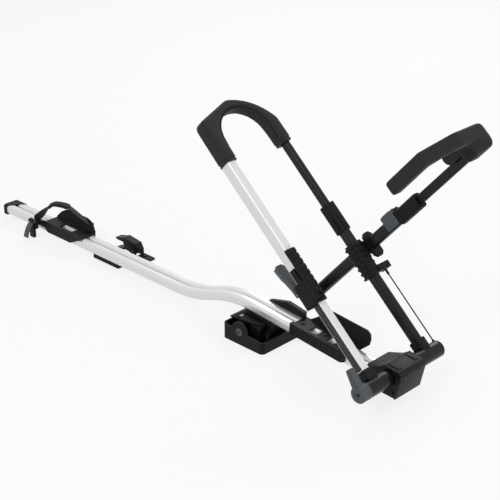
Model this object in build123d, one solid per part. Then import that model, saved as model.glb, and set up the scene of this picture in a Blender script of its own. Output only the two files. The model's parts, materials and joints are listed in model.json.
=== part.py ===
from build123d import *
from math import atan2, cos, degrees, radians, sin, sqrt, tan
import os

os.makedirs("parts", exist_ok=True)

# Roof mounted bike carrier, millimetres, +Z up, +X towards the front of the car.
# Origin: middle of the front foot's underside, where it rests on the crossbar.
# The near side, with the knob and the ratchet, is -Y.  The far side is +Y.

# Overall
overall_length = 1630.0
axis_x = 458.0
axis_z = 79.0
overrun = 1.0
run_gap = 0.35
slide_gap = 0.3
pin_gap = 0.05

# Rail
rail_width = 53.5
rail_height = 28.0
rail_wall = 2.2
rail_gap = 4.5
rail_corner = 8.0
rail_base_z = 19.0
valley_depth = 10.0
bend_low_x = -257.0
bend_high_x = -105.0
bend_rise = 57.0
low_bend_radius = 370.0
high_bend_radius = 350.0
front_slope_deg = 4.6
rail_front_x = 425.0

# Rail end cap
cap_wall = 1.8
cap_back = 4.0
cap_near_length = 10.0
cap_far_length = 44.0

# Pivot housing and cross tube
tube_radius = 21.6
tube_wall = 3.0
tube_near_y = -132.0
tube_far_y = 147.0
far_cap_depth = 6.5
far_cap_round = 3.0
housing_half_width = 46.0
cover_wall = 4.0
cover_front_x = 43.0
cover_front_z = 26.0
cover_rear_x = -13.0
cover_rear_z = 31.5
cover_toe_x = 26.0
cover_toe_z = -51.6
housing_base_x = -30.0
housing_base_z = -49.0
housing_rear_x = -74.0
housing_rear_low_z = -38.0
housing_rear_high_z = 4.0
housing_crest_z = 18.0
barrel_radius = 33.0
barrel_width = 26.0
barrel_inset = 3.0
bush_radius = 25.6
bush_length = 10.0
notch_width = 6.0
notch_height = 10.0
notch_depth = 2.5
notch_spread = 29.0
notch_drop = 16.0
screw_radius = 2.6
screw_head_radius = 4.4
screw_head_height = 2.4
screw_length = 9.0

# Hoop: the arm that folds on the cross tube, measured lying flat behind it
hoop_raise_deg = 41.8
leg_spread = 207.0
near_tube_top = 17.5
near_tube_bottom = -19.0
near_tube_width = 27.5
near_tube_wall = 1.6
near_tube_corner = 7.0
near_tube_start = 262.0
tube_end = 688.0
bar_top = 14.0
bar_bottom = -13.5
bar_width = 23.5
bar_corner = 3.0
bar_wall = 3.5
bar_end = 470.0
rack_depth = 3.0
rack_top = 11.5
rack_bottom = -11.0
rack_start = 46.0
rack_length = 412.0
rack_pitch = 6.0
rack_tooth_depth = 1.6
lower_tube_top = 16.0
lower_tube_bottom = -15.0
lower_tube_width = 21.6
lower_tube_wall = 1.2
lower_tube_corner = 8.0
lower_tube_end = 450.0
upper_tube_top = 11.0
upper_tube_bottom = -12.0
upper_tube_width = 18.0
upper_tube_wall = 1.8
upper_tube_corner = 6.0
upper_tube_start = 330.0

# Leg sockets on the cross tube
socket_length = 44.0
socket_wall = 4.0
socket_rib = 0.7
socket_rib_length = 4.0
socket_rib_pitch = 7.0
socket_rib_start = 22.0

# Collar and its push button
collar_start = 374.0
collar_length = 82.0
collar_half_height = 19.0
collar_width = 31.5
collar_corner = 10.0
button_length = 34.0
button_width = 13.0
button_height = 4.2
button_travel = 3.0
button_station = 396.0
button_sink = 1.0

# Slider block that carries the hook arm
block_start = 238.0
block_length = 98.0
block_top = 19.0
block_bottom = -21.0
block_near_y = 87.0
block_far_y = 122.0
block_corner = 9.0
block_rib = 2.6
block_rib_length = 5.0
block_rib_pitch = 14.5
pivot_station = 310.0
pivot_boss_radius = 19.0
pin_radius = 8.0
pin_head_radius = 12.5
pin_head_height = 4.0
anchor_length = 18.0
anchor_far_y = 155.0
anchor_low = 6.0
anchor_high = 24.0
anchor_tongue_low = -9.0
anchor_tongue_wall = 8.5
ferrule_radius = 3.2
ferrule_length = 14.0
cable_radius = 1.8
cable_y = 149.0
cable_level = 4.0

# Hoop pad, one horseshoe on both legs
pad_start = 652.0
pad_near_corner = 776.0
pad_corner_round = 14.0
pad_far_shoulder = 722.0
pad_bow = 790.0
pad_bow_y = 54.0
pad_peak_y = -6.0
pad_top = 812.0
pad_near_half_width = 120.5
pad_far_half_width = 116.0
pad_half_depth = 22.0
pad_edge = 6.0
pad_mouth_half_width = 82.0
pad_throat_half_width = 80.0
pad_throat = 700.0
pad_crown = 786.0
core_margin = 6.0
core_half_depth = 12.0
insert_wall = 5.0
insert_half_depth = 15.0
insert_start = 668.0
bow_share = 0.75

# Ratchet on the near leg
ratchet_start = 238.0
ratchet_length = 66.0
ratchet_top = 19.5
ratchet_bottom = -30.0
ratchet_near_y = -125.0
ratchet_far_y = -85.5
ratchet_corner = 6.0
cheek_end = 340.0
cheek_top = 12.0
cheek_bottom = -6.0
grip_start = 245.0
grip_end = 386.0
grip_low = 20.2
grip_high = 31.0
grip_near_y = -128.0
grip_far_y = -98.0
grip_rib_count = 9
grip_rib_height = 3.5
grip_rib_share = 0.72
grip_corner = 4.0
grip_pin_station = 252.0
grip_pin_level = 26.0
grip_pin_radius = 2.5
grip_ear_radius = 5.0
grip_ear_width = 12.0
release_pin_station = 286.0
release_pin_level = -36.0
release_pin_radius = 2.5
release_ear_radius = 6.0
release_ear_width = 14.0
release_width = 30.0
release_mid_y = -107.0
release_neck_share = 0.72
release_tip_station = 376.0
release_tip_level = -50.0
release_tip_wall = 7.0
release_root_wall = 12.0
release_rib_count = 8
release_rib_height = 1.6
release_rib_pitch = 5.0
pawl_length = 16.0
pawl_width = 14.0
pawl_height = 4.0

# Hook arm, measured lying flat from its pivot
arm_raise_deg = 48.95
arm_y = 134.0
arm_half_height = 16.0
arm_width = 22.0
arm_wall = 1.8
arm_corner = 8.0
arm_tail = -240.0
arm_end = 238.0
tail_cap_length = 8.0
flange_start = 21.0
flange_wall = 9.0
flange_low = -38.0
flange_high = 33.0
flange_near_y = 122.6
flange_far_y = 155.0
flange_chamfer = 9.0
yoke_half_length = 24.0
yoke_half_height = 19.0
yoke_far_y = 147.0
sleeve_start = 162.0
sleeve_end = 243.0
sleeve_half_height = 20.0
sleeve_width = 29.0
sleeve_corner = 9.0
sleeve_groove = 1.4
sleeve_groove_length = 3.0
sleeve_groove_pitch = 8.0
sleeve_groove_count = 5
thumb_pin_station = 155.0
thumb_pin_level = 23.0
thumb_pin_radius = 2.0
thumb_ear_radius = 4.5
thumb_ear_width = 9.0
thumb_start = 112.0
thumb_low = -12.0
thumb_high = 29.0
thumb_skin = 2.4
thumb_rib_count = 5
thumb_rib_pitch = 6.25
thumb_near_y = 120.0
thumb_far_y = 147.4
inner_start = 132.0
inner_half_height = 12.0
inner_width = 10.0
inner_corner = 2.0
inner_hole_station = 373.0
inner_hole_radius = 3.2

# Hook pad, a J in the plane of the hook arm
hook_low = 8.0
hook_high = 44.0
hook_toe_low = -17.0
hook_near_y = -54.0
hook_near_inner_y = -25.0
hook_far_inner_y = 112.0
hook_far_y = 158.0
hook_wall = 29.0
hook_top_inner = 490.0
hook_near_reach = 140.0
hook_far_reach = 49.0
hook_lobe_reach = 101.0
hook_mitre = 37.0
hook_mitre_y = 50.0
hook_bevel = 30.0
hook_bevel_y = 12.0
hook_lobe_y = 126.5
hook_lobe_round = 11.0
hook_far_round = 24.0
hook_inner_round = 12.0

# Fold lock lever on the near end of the cross tube
hub_gap = 0.5
hub_near_y = -161.5
hub_radius = 22.0
hub_round = 2.5
hub_spigot_length = 26.0
hub_recess_radius = 12.0
hub_recess_depth = 2.0
lever_reach = 64.0
lever_tip_width = 15.0
lever_root_width = 26.0
lever_near_y = -158.0
lever_far_y = -141.0
lever_angle_deg = 125.0
lever_rib_count = 6
lever_rib = 1.2
lever_rib_pitch = 5.0
core_radius = 4.5
core_length = 16.0

# Front foot
foot_half_length = 73.5
foot_half_width = 85.0
foot_rear_height = 45.0
foot_front_height = 33.0
foot_wall = 4.0
foot_floor = 6.0
foot_corner = 12.0
bump_radius = 29.0
knob_x = -10.0
knob_z = 38.0
knob_radius = 11.0
knob_proud = 3.0
knob_depth = 9.0
spindle_radius = 4.0
spindle_end_y = 30.0
boss_radius = 16.0
boss_depth = 12.0
clamp_rear_x = -40.0
clamp_front_x = 52.0
clamp_half_width = 30.0
clamp_wall = 9.0
slot_spacing_x = 90.0
slot_spacing_y = 120.0
slot_radius = 4.2
slot_length = 24.0
jaw_tip_x = -74.0
jaw_front_x = -30.0
jaw_near_y = -60.0
jaw_far_y = 60.0
jaw_z = 50.0
jaw_wall = 5.0
jaw_notch = 16.0
bolt_radius = 3.9
bolt_head_radius = 6.5
bolt_head_height = 4.0
pad_wall = 2.0

# Wheel cradle on the raised rail, in the rail's own slope
cradle_start = 225.0
cradle_end = 412.0
cradle_wall = 4.5
cradle_floor = 3.5
skirt_low = -9.0
skirt_high = 23.0
wing_low = -6.0
wing_high = 62.0
wing_start = 242.0
wing_crest = 300.0
wing_end = 436.0
wing_lean = 16.0
wing_round = 18.0
horn_start = 100.0
horn_peak = 166.0
horn_end = 226.0
horn_high = 38.0
horn_low_end = 33.0
horn_wall = 7.0
window_length = 26.0
window_width = 30.0
window_stations_share = (0.34, 0.66)
screw_stations_share = (0.1, 0.5, 0.9)
cradle_rib_count = 9

# Rear mount, slides on the rail to suit the crossbar spacing
mount_rear_x = -700.0
mount_front_x = -586.0
mount_near_y = -14.0
mount_pad_far_y = 30.0
mount_far_y = 96.3
mount_rib_count = 9
mount_rib_depth = 1.5
plate_low = 6.0
plate_wall = 6.0
plate_front_x = -546.0
plate_rear_x = -640.0
plate_slot_x = -574.0
plate_slot_y = 78.0
plate_slot_pitch = 30.0
plate_slot_length = 20.0
plate_foot_front_x = -586.0
claw_pin_x = -606.0
claw_pin_z = 25.0
claw_pin_radius = 4.0
claw_near_y = 66.0
claw_far_y = 90.0
claw_tip_x = -690.0
claw_front_x = -592.0
claw_high = 56.0
claw_mouth_low = 13.0
claw_mouth_high = 40.0
claw_mouth_x = -650.0
claw_lip_low = 5.0
claw_knuckle_radius = 11.0
claw_ear_wall = 6.0

# Rear wheel tray and strap
tray_setback = 200.0
tray_length = 183.0
tray_wall = 4.0
tray_floor = 3.5
tray_near_low = 24.0
tray_near_high = 58.0
tray_far_low = 24.0
tray_far_high = 84.0
tray_far_lean = 12.0
tray_window_length = 60.0
tray_window_width = 26.0
strap_width = 22.0
strap_wall = 3.2
strap_start_setback = 27.0
strap_start_y = -38.0
strap_end_reach = 163.0
strap_end_y = 41.0
strap_pad_wall = 9.0
strap_pad_width = 28.0
buckle_setback = 21.0
buckle_near_y = -58.0
buckle_length = 34.0
buckle_height = 26.0
buckle_depth = 15.0
buckle_z = 46.0
buckle_pin_radius = 2.2
buckle_lever_length = 58.0
buckle_lever_width = 20.0
buckle_lever_wall = 5.0
tail_length = 29.0


def block(x0, x1, y0, y1, z0, z1):
    """Box between two corners."""
    centre = Pos((x0 + x1) / 2, (y0 + y1) / 2, (z0 + z1) / 2)
    return centre * Box(abs(x1 - x0), abs(y1 - y0), abs(z1 - z0))


def rounded_bar(x0, x1, y0, y1, z0, z1, corner):
    """Bar along X with rounded long edges."""
    section = Plane.YZ * RectangleRounded(abs(y1 - y0), abs(z1 - z0), corner)
    bar = extrude(section, abs(x1 - x0))
    return Pos(min(x0, x1), (y0 + y1) / 2, (z0 + z1) / 2) * bar


def rod_y(x, z, y0, y1, radius):
    """Round rod along Y."""
    return Pos(x, (y0 + y1) / 2, z) * Rot(90, 0, 0) * Cylinder(radius, abs(y1 - y0))


def rod_x(x0, x1, y, z, radius):
    """Round rod along X."""
    return Pos((x0 + x1) / 2, y, z) * Rot(0, 90, 0) * Cylinder(radius, abs(x1 - x0))


def rod_z(x, y, z0, z1, radius):
    """Round rod along Z."""
    return Pos(x, y, (z0 + z1) / 2) * Cylinder(radius, abs(z1 - z0))


def side_plate(points, y0, y1):
    """Closed outline in X and Z, thickened along Y."""
    ring = Polyline(*[(x, y0, z) for x, z in points], close=True)
    return extrude(make_face(ring), abs(y1 - y0), dir=(0, 1 if y1 > y0 else -1, 0))


def flat_plate(points, z0, z1):
    """Closed outline in X and Y, thickened along Z."""
    ring = Polyline(*[(x, y, z0) for x, y in points], close=True)
    return extrude(make_face(ring), abs(z1 - z0), dir=(0, 0, 1 if z1 > z0 else -1))


def cross_plate(points, x0, x1):
    """Closed outline in Y and Z, thickened along X."""
    ring = Polyline(*[(x0, y, z) for y, z in points], close=True)
    return extrude(make_face(ring), abs(x1 - x0), dir=(1 if x1 > x0 else -1, 0, 0))


def slot_z(x, y, z0, z1, length, radius, turn):
    """Slotted hole cut down through Z, along X and then turned about Z."""
    straight = length / 2 - radius
    middle = block(-straight, straight, -radius, radius, z0, z1)
    middle += rod_z(-straight, 0, z0, z1, radius) + rod_z(straight, 0, z0, z1, radius)
    return Pos(x, y, 0) * Rot(0, 0, turn) * middle


def raise_hoop(piece):
    """Hoop pieces lie behind the cross tube at X = -station; this raises them."""
    return Pos(axis_x, 0, axis_z) * Rot(0, hoop_raise_deg, 0) * piece


hook_pivot_x = axis_x - pivot_station * cos(radians(hoop_raise_deg))
hook_pivot_z = axis_z + pivot_station * sin(radians(hoop_raise_deg))


def raise_arm(piece):
    """Hook arm pieces lie ahead of their pivot at X = station; this raises them."""
    return Pos(hook_pivot_x, 0, hook_pivot_z) * Rot(0, -arm_raise_deg, 0) * piece


rail_mid_z = rail_base_z + rail_height / 2
rail_rear_x = axis_x + cover_front_x - overall_length + cap_back
tray_rear_x = rail_rear_x + tray_setback
tray_front_x = tray_rear_x + tray_length
strap_start_x = tray_rear_x - strap_start_setback
strap_end_x = tray_rear_x + strap_end_reach
buckle_x = tray_rear_x - buckle_setback
strap_turn_deg = degrees(atan2(strap_end_y - strap_start_y, strap_end_x - strap_start_x))
front_slope = radians(front_slope_deg)


def on_slope(piece):
    """Pieces on the raised rail: X runs down the rail from the high bend, Z from its middle."""
    return Pos(bend_high_x, 0, rail_mid_z + bend_rise) * Rot(0, front_slope_deg, 0) * piece


def rail_section(grow):
    """Both tubes and the web between them, as one filled outline."""
    half = rail_height / 2
    tube = (rail_width - rail_gap) / 2
    outline = Sketch()
    for side in (-1, 1):
        centre = side * (rail_gap + tube) / 2
        outline += Pos(centre, 0) * RectangleRounded(tube + 2 * grow, rail_height + 2 * grow, rail_corner)
    floor = rail_height - valley_depth
    outline += Pos(0, -half + floor / 2 - grow / 2) * Rectangle(rail_gap + 2 * rail_corner, floor + grow)
    return outline


def rail_path():
    """Centre line of the rail: flat rear, two bends, gentle fall to the front."""
    drop = (rail_front_x - bend_high_x) * tan(front_slope)
    points = [
        (rail_rear_x, 0, rail_mid_z),
        (bend_low_x, 0, rail_mid_z),
        (bend_high_x, 0, rail_mid_z + bend_rise),
        (rail_front_x, 0, rail_mid_z + bend_rise - drop),
    ]
    return FilletPolyline(*points, radius=[low_bend_radius, high_bend_radius])


rail_start = Plane(origin=(rail_rear_x, 0, rail_mid_z), x_dir=(0, 1, 0), z_dir=(1, 0, 0))


def rail_bores():
    """The hollows of the two tubes."""
    tube = (rail_width - rail_gap) / 2
    bores = Sketch()
    for side in (-1, 1):
        hollow = RectangleRounded(tube - 2 * rail_wall, rail_height - 2 * rail_wall, rail_corner - rail_wall)
        bores += Pos(side * (rail_gap + tube) / 2, 0) * hollow
    return bores


def make_rail():
    return sweep(rail_start * (rail_section(0) - rail_bores()), path=rail_path())


def filled_rail():
    """The rail without its bores, to cut seats with."""
    return sweep(rail_start * rail_section(0), path=rail_path())


def make_rail_end_cap():
    half = rail_width / 2 + cap_wall
    low = rail_mid_z - rail_height / 2 - cap_wall
    high = rail_mid_z + rail_height / 2 + cap_wall
    back = rail_rear_x - cap_back
    plan = [(back, -half), (rail_rear_x + cap_near_length, -half), (rail_rear_x + cap_far_length, half), (back, half)]
    cap = flat_plate(plan, low, high)
    cap = fillet(cap.edges().filter_by(Axis.X).sort_by(Axis.Z)[-2:], rail_corner)
    bore = extrude(rail_start * rail_section(0), cap_far_length + overrun)
    plugs = extrude(rail_start * rail_bores(), cap_near_length / 2)
    return cap - bore + plugs


def housing_outline(inset):
    """Side view of the housing about the cross tube's axis; inset leaves room for the cover."""
    return [
        (cover_rear_x, cover_rear_z - inset),
        (cover_front_x - inset, cover_front_z - inset),
        (cover_toe_x - inset, cover_toe_z),
        (housing_base_x, housing_base_z),
        (housing_rear_x, housing_rear_low_z),
        (housing_rear_x, housing_rear_high_z),
        (housing_base_x - cover_wall, housing_crest_z),
    ]


def on_axis(piece):
    """Pieces drawn about the cross tube's axis."""
    return Pos(axis_x, 0, axis_z) * piece


def cover_zone():
    """Everything in front of and above the housing's sloped faces."""
    return side_plate([
        (cover_rear_x, cover_rear_z - cover_wall),
        (cover_rear_x, barrel_radius + overrun),
        (cover_front_x + barrel_radius, barrel_radius + overrun),
        (cover_front_x + barrel_radius, cover_toe_z - overrun),
        (cover_toe_x - cover_wall, cover_toe_z - overrun),
        (cover_toe_x - cover_wall, cover_toe_z),
        (cover_front_x - cover_wall, cover_front_z - cover_wall),
    ], -housing_half_width - cover_wall - overrun, housing_half_width + cover_wall + overrun)


def make_pivot_housing():
    body = side_plate(housing_outline(cover_wall), -housing_half_width, housing_half_width)
    for side in (-1, 1):
        outer = side * (housing_half_width - barrel_inset)
        body += rod_y(0, 0, outer, outer - side * barrel_width, barrel_radius)
    body -= cover_zone()
    body -= rod_y(0, 0, -housing_half_width - overrun, housing_half_width + overrun, tube_radius + pin_gap)
    for side in (-1, 1):
        outer = side * housing_half_width
        body -= rod_y(0, 0, outer + side * overrun, outer - side * bush_length, bush_radius)
    body = on_axis(body)
    plane = Plane(origin=(bend_high_x, 0, rail_mid_z + bend_rise), x_dir=(0, 1, 0),
                  z_dir=(cos(front_slope), 0, -sin(front_slope)))
    run = (rail_front_x - bend_high_x) / cos(front_slope)
    return body - extrude(plane * rail_section(0), run)


def make_housing_cover():
    outer = housing_outline(0)
    shell = side_plate(outer, -housing_half_width - cover_wall, housing_half_width + cover_wall)
    shell = shell & cover_zone()
    lean = (cover_front_x - cover_toe_x) / (cover_front_z - cover_toe_z)
    for side in (-1, 1):
        level = cover_front_z - notch_drop
        face = cover_front_x - notch_drop * lean
        shell -= block(face - notch_depth, face + notch_depth, side * notch_spread - notch_width / 2,
                       side * notch_spread + notch_width / 2, level - notch_height, level)
    return on_axis(shell)


def make_housing_screws():
    screws = []
    for x, z in ((cover_rear_x - barrel_radius, housing_base_z / 2), (cover_toe_x / 2, housing_base_z + screw_length)):
        for side in (-1, 1):
            face = side * housing_half_width
            head = rod_y(x, z, face, face + side * screw_head_height, screw_head_radius)
            screws.append(on_axis(head))
    return Compound(children=screws)


def make_pivot_bushes():
    rings = []
    for side in (-1, 1):
        outer = side * housing_half_width
        ring = rod_y(0, 0, outer, outer - side * bush_length, bush_radius)
        ring -= rod_y(0, 0, outer + side * overrun, outer - side * (bush_length + overrun), tube_radius + pin_gap)
        rings.append(on_axis(ring))
    return Compound(children=rings)


def make_cross_tube():
    tube = rod_y(0, 0, tube_near_y, tube_far_y, tube_radius)
    tube -= rod_y(0, 0, tube_near_y - overrun, tube_far_y + overrun, tube_radius - tube_wall)
    return on_axis(tube)


def make_cross_tube_cap():
    cap = rod_y(0, 0, tube_far_y, tube_far_y + far_cap_depth, tube_radius)
    cap = fillet(cap.edges().group_by(Axis.Y)[-1], far_cap_round)
    cap += rod_y(0, 0, tube_far_y - far_cap_depth * 2, tube_far_y, tube_radius - tube_wall)
    return on_axis(cap)


near_leg_y = -leg_spread / 2
far_leg_y = leg_spread / 2


def leg_bar(start, end, mid_y, width, low, high, corner):
    """Bar along a leg, between two stations from the cross tube."""
    return rounded_bar(-end, -start, mid_y - width / 2, mid_y + width / 2, low, high, corner)


def leg_tube(start, end, mid_y, width, low, high, corner, wall):
    outer = leg_bar(start, end, mid_y, width, low, high, corner)
    inner = leg_bar(start - overrun, end + overrun, mid_y, width - 2 * wall, low + wall, high - wall, corner - wall)
    return outer - inner


def make_leg_socket(mid_y, width, low, high, corner):
    sleeve = leg_bar(0, socket_length, mid_y, width + 2 * socket_wall, low - socket_wall, high + socket_wall, corner)
    for turn in range(3):
        start = socket_rib_start + turn * socket_rib_pitch
        grow = socket_wall + socket_rib
        sleeve += leg_bar(start, start + socket_rib_length, mid_y, width + 2 * grow, low - grow, high + grow, corner)
    sleeve -= leg_bar(tube_radius - tube_wall, socket_length + overrun, mid_y, width, low, high, corner)
    return raise_hoop(sleeve - rod_y(0, 0, mid_y - socket_length, mid_y + socket_length, tube_radius))


def make_rack_bar():
    bar = leg_bar(tube_radius + overrun, bar_end, near_leg_y, bar_width, bar_bottom, bar_top, bar_corner)
    hollow = leg_bar(tube_radius, bar_end + overrun, near_leg_y + rack_depth / 2,
                     bar_width - 2 * bar_wall - rack_depth, bar_bottom + bar_wall, bar_top - bar_wall, bar_corner)
    near_face = near_leg_y - bar_width / 2
    groove = block(-rack_start - rack_length, -rack_start, near_face - overrun, near_face + rack_depth,
                   rack_bottom, rack_top)
    return raise_hoop(bar - hollow - groove)


def make_toothed_rack():
    near_face = near_leg_y - bar_width / 2
    points = [(-rack_start, near_face + rack_depth), (-rack_start, near_face)]
    teeth = int(rack_length / rack_pitch)
    for tooth in range(teeth):
        start = rack_start + tooth * rack_pitch
        points.append((-(start + rack_pitch / 2), near_face))
        points.append((-(start + rack_pitch / 2), near_face + rack_tooth_depth))
        points.append((-(start + rack_pitch), near_face + rack_tooth_depth))
        if tooth < teeth - 1:
            points.append((-(start + rack_pitch), near_face))
    points.append((-(rack_start + teeth * rack_pitch), near_face + rack_depth))
    return raise_hoop(flat_plate(points, rack_bottom, rack_top))


def make_near_leg_tube():
    return raise_hoop(leg_tube(near_tube_start, tube_end, near_leg_y, near_tube_width, near_tube_bottom,
                               near_tube_top, near_tube_corner, near_tube_wall))


def make_far_leg_lower_tube():
    return raise_hoop(leg_tube(tube_radius + overrun, lower_tube_end, far_leg_y, lower_tube_width,
                               lower_tube_bottom, lower_tube_top, lower_tube_corner, lower_tube_wall))


def make_far_leg_upper_tube():
    return raise_hoop(leg_tube(upper_tube_start, tube_end, far_leg_y, upper_tube_width, upper_tube_bottom,
                               upper_tube_top, upper_tube_corner, upper_tube_wall))


collar_near_y = far_leg_y - collar_width / 2
collar_end = collar_start + collar_length


def button_slab(y0, y1, grow):
    """Oval slab of the push button, standing on its edge along the leg."""
    radius = button_width / 2 + grow
    straight = (button_length - button_width) / 2
    low = -button_station - straight
    high = -button_station + straight
    middle = block(low, high, y0, y1, -radius, radius)
    return middle + rod_y(low, 0, y0, y1, radius) + rod_y(high, 0, y0, y1, radius)


def make_leg_collar():
    collar = leg_bar(collar_start, collar_end, far_leg_y, collar_width, -collar_half_height, collar_half_height,
                     collar_corner)
    collar -= leg_bar(collar_start - overrun, lower_tube_end, far_leg_y, lower_tube_width, lower_tube_bottom,
                      lower_tube_top, lower_tube_corner)
    collar -= leg_bar(lower_tube_end - overrun, collar_end + overrun, far_leg_y, upper_tube_width + 2 * run_gap,
                      upper_tube_bottom - run_gap, upper_tube_top + run_gap, upper_tube_corner)
    pocket_floor = collar_near_y + button_sink + button_travel + run_gap
    collar -= button_slab(collar_near_y - overrun, pocket_floor, slide_gap)
    return raise_hoop(collar)


def make_collar_button():
    start = collar_near_y + button_sink - button_height
    return raise_hoop(button_slab(start, collar_near_y + button_sink, 0))


def make_slider_block():
    end = block_start + block_length
    mid_y = (block_near_y + block_far_y) / 2
    width = block_far_y - block_near_y
    body = leg_bar(block_start, end, mid_y, width, block_bottom, block_top, block_corner)
    for turn in range(int((block_length - block_rib_length) / block_rib_pitch) + 1):
        start = block_start + turn * block_rib_pitch
        rib = leg_bar(start, start + block_rib_length, mid_y - block_rib / 2, width + block_rib,
                      block_bottom - block_rib, block_top + block_rib, block_corner)
        body += rib
    boss = rod_y(-pivot_station, 0, far_leg_y, block_far_y, pivot_boss_radius)
    body += boss
    anchor_end = block_start + anchor_length
    body += block(-anchor_end, -block_start, block_far_y - block_corner, anchor_far_y, anchor_low, anchor_high)
    body += block(-anchor_end, -block_start, anchor_far_y - anchor_tongue_wall, anchor_far_y, anchor_tongue_low,
                  anchor_high)
    body -= leg_bar(block_start - overrun, end + overrun, far_leg_y, lower_tube_width, lower_tube_bottom,
                    lower_tube_top, lower_tube_corner)
    outer_wall = far_leg_y + lower_tube_width / 2
    body -= rod_y(-pivot_station, 0, outer_wall, block_far_y + overrun, pin_radius)
    for turn in range(3):
        start = block_start + anchor_length * (2 * turn + 1) / 7
        body -= block(-start - anchor_length / 7, -start, block_far_y + overrun, anchor_far_y - anchor_tongue_wall,
                      anchor_high - block_rib, anchor_high + overrun)
    body -= rod_x(-block_start + overrun, -block_start - ferrule_length / 2, cable_y, cable_level, ferrule_radius)
    return raise_hoop(body)


def make_cable_ferrule():
    inner = rod_x(-block_start - ferrule_length / 2, -block_start + ferrule_length, cable_y, cable_level,
                  ferrule_radius)
    inner -= rod_x(-block_start, -block_start + ferrule_length + overrun, cable_y, cable_level, cable_radius)
    return raise_hoop(inner)


def make_lock_cable():
    rim = sqrt(tube_radius ** 2 - cable_level ** 2)
    return raise_hoop(rod_x(-block_start, -rim - cable_radius, cable_y, cable_level, cable_radius))


def make_cable_anchor():
    rim = sqrt(tube_radius ** 2 - cable_level ** 2)
    button = rod_x(-rim - ferrule_radius, 0, cable_y, cable_level, ferrule_radius)
    button -= rod_x(-rim - ferrule_radius - overrun, -rim - cable_radius, cable_y, cable_level, cable_radius)
    return raise_hoop(button - rod_y(0, 0, tube_far_y - tube_radius, tube_far_y + far_cap_depth + overrun,
                                     tube_radius))


def horseshoe(margin_out, margin_in, start):
    """Filled outline of the pad in station and Y, between its outer and its inner arch."""
    near = margin_out - pad_near_half_width
    far = pad_far_half_width - margin_out
    corner = (margin_out - pad_near_corner, near)
    peak = (margin_out - pad_top, pad_peak_y)
    shoulder = (-pad_far_shoulder, far)
    bow = (margin_out * bow_share - pad_bow, pad_bow_y - margin_out * bow_share)
    wide = pad_mouth_half_width + margin_in
    throat = pad_throat_half_width + margin_in
    near_side = FilletPolyline((-start, near), corner, peak, radius=pad_corner_round - margin_out)
    return make_face(Wire([
        *near_side.edges(),
        ThreePointArc(peak, bow, shoulder),
        Line(shoulder, (-start, far)),
        Line((-start, far), (-start, wide)),
        Line((-start, wide), (-pad_throat, throat)),
        ThreePointArc((-pad_throat, throat), (-(pad_crown + margin_in), 0), (-pad_throat, -throat)),
        Line((-pad_throat, -throat), (-start, -wide)),
        Line((-start, -wide), (-start, near)),
    ]))


def both_ways(face, half_depth):
    """Thickens a flat outline by the same depth above and below."""
    return Pos(0, 0, -half_depth) * extrude(face, 2 * half_depth, dir=(0, 0, 1))


def mouth(grow):
    """The gap that the wheel enters, as an outline grown outwards."""
    wide = pad_mouth_half_width + grow
    throat = pad_throat_half_width + grow
    return make_face(Wire([
        Line((-pad_start, wide), (-pad_throat, throat)),
        ThreePointArc((-pad_throat, throat), (-(pad_crown + grow), 0), (-pad_throat, -throat)),
        Line((-pad_throat, -throat), (-pad_start, -wide)),
        Line((-pad_start, -wide), (-pad_start, wide)),
    ]))


def insert_band():
    """Lining of the mouth, let into the pad's inner face."""
    band = both_ways(mouth(insert_wall), insert_half_depth) - both_ways(mouth(0), pad_half_depth)
    return band & block(-pad_top, -insert_start, -pad_near_half_width, pad_near_half_width, -pad_half_depth,
                        pad_half_depth)


def make_hoop_core():
    return raise_hoop(both_ways(horseshoe(core_margin, core_margin, tube_end), core_half_depth))


def make_hoop_pad():
    pad = both_ways(horseshoe(0, 0, pad_start), pad_half_depth)
    rims = pad.edges().filter_by(lambda e: abs(abs(e.center().Z) - pad_half_depth) < run_gap)
    pad = chamfer(rims, pad_edge)
    pad -= leg_bar(pad_start - overrun, tube_end, near_leg_y, near_tube_width, near_tube_bottom, near_tube_top,
                   near_tube_corner)
    pad -= leg_bar(pad_start - overrun, tube_end, far_leg_y, upper_tube_width, upper_tube_bottom, upper_tube_top,
                   upper_tube_corner)
    core = both_ways(horseshoe(core_margin, core_margin, tube_end), core_half_depth)
    return raise_hoop(pad - core - insert_band())


def make_pad_insert():
    return raise_hoop(insert_band())


ratchet_end = ratchet_start + ratchet_length
grip_mid_y = (grip_near_y + grip_far_y) / 2


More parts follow.
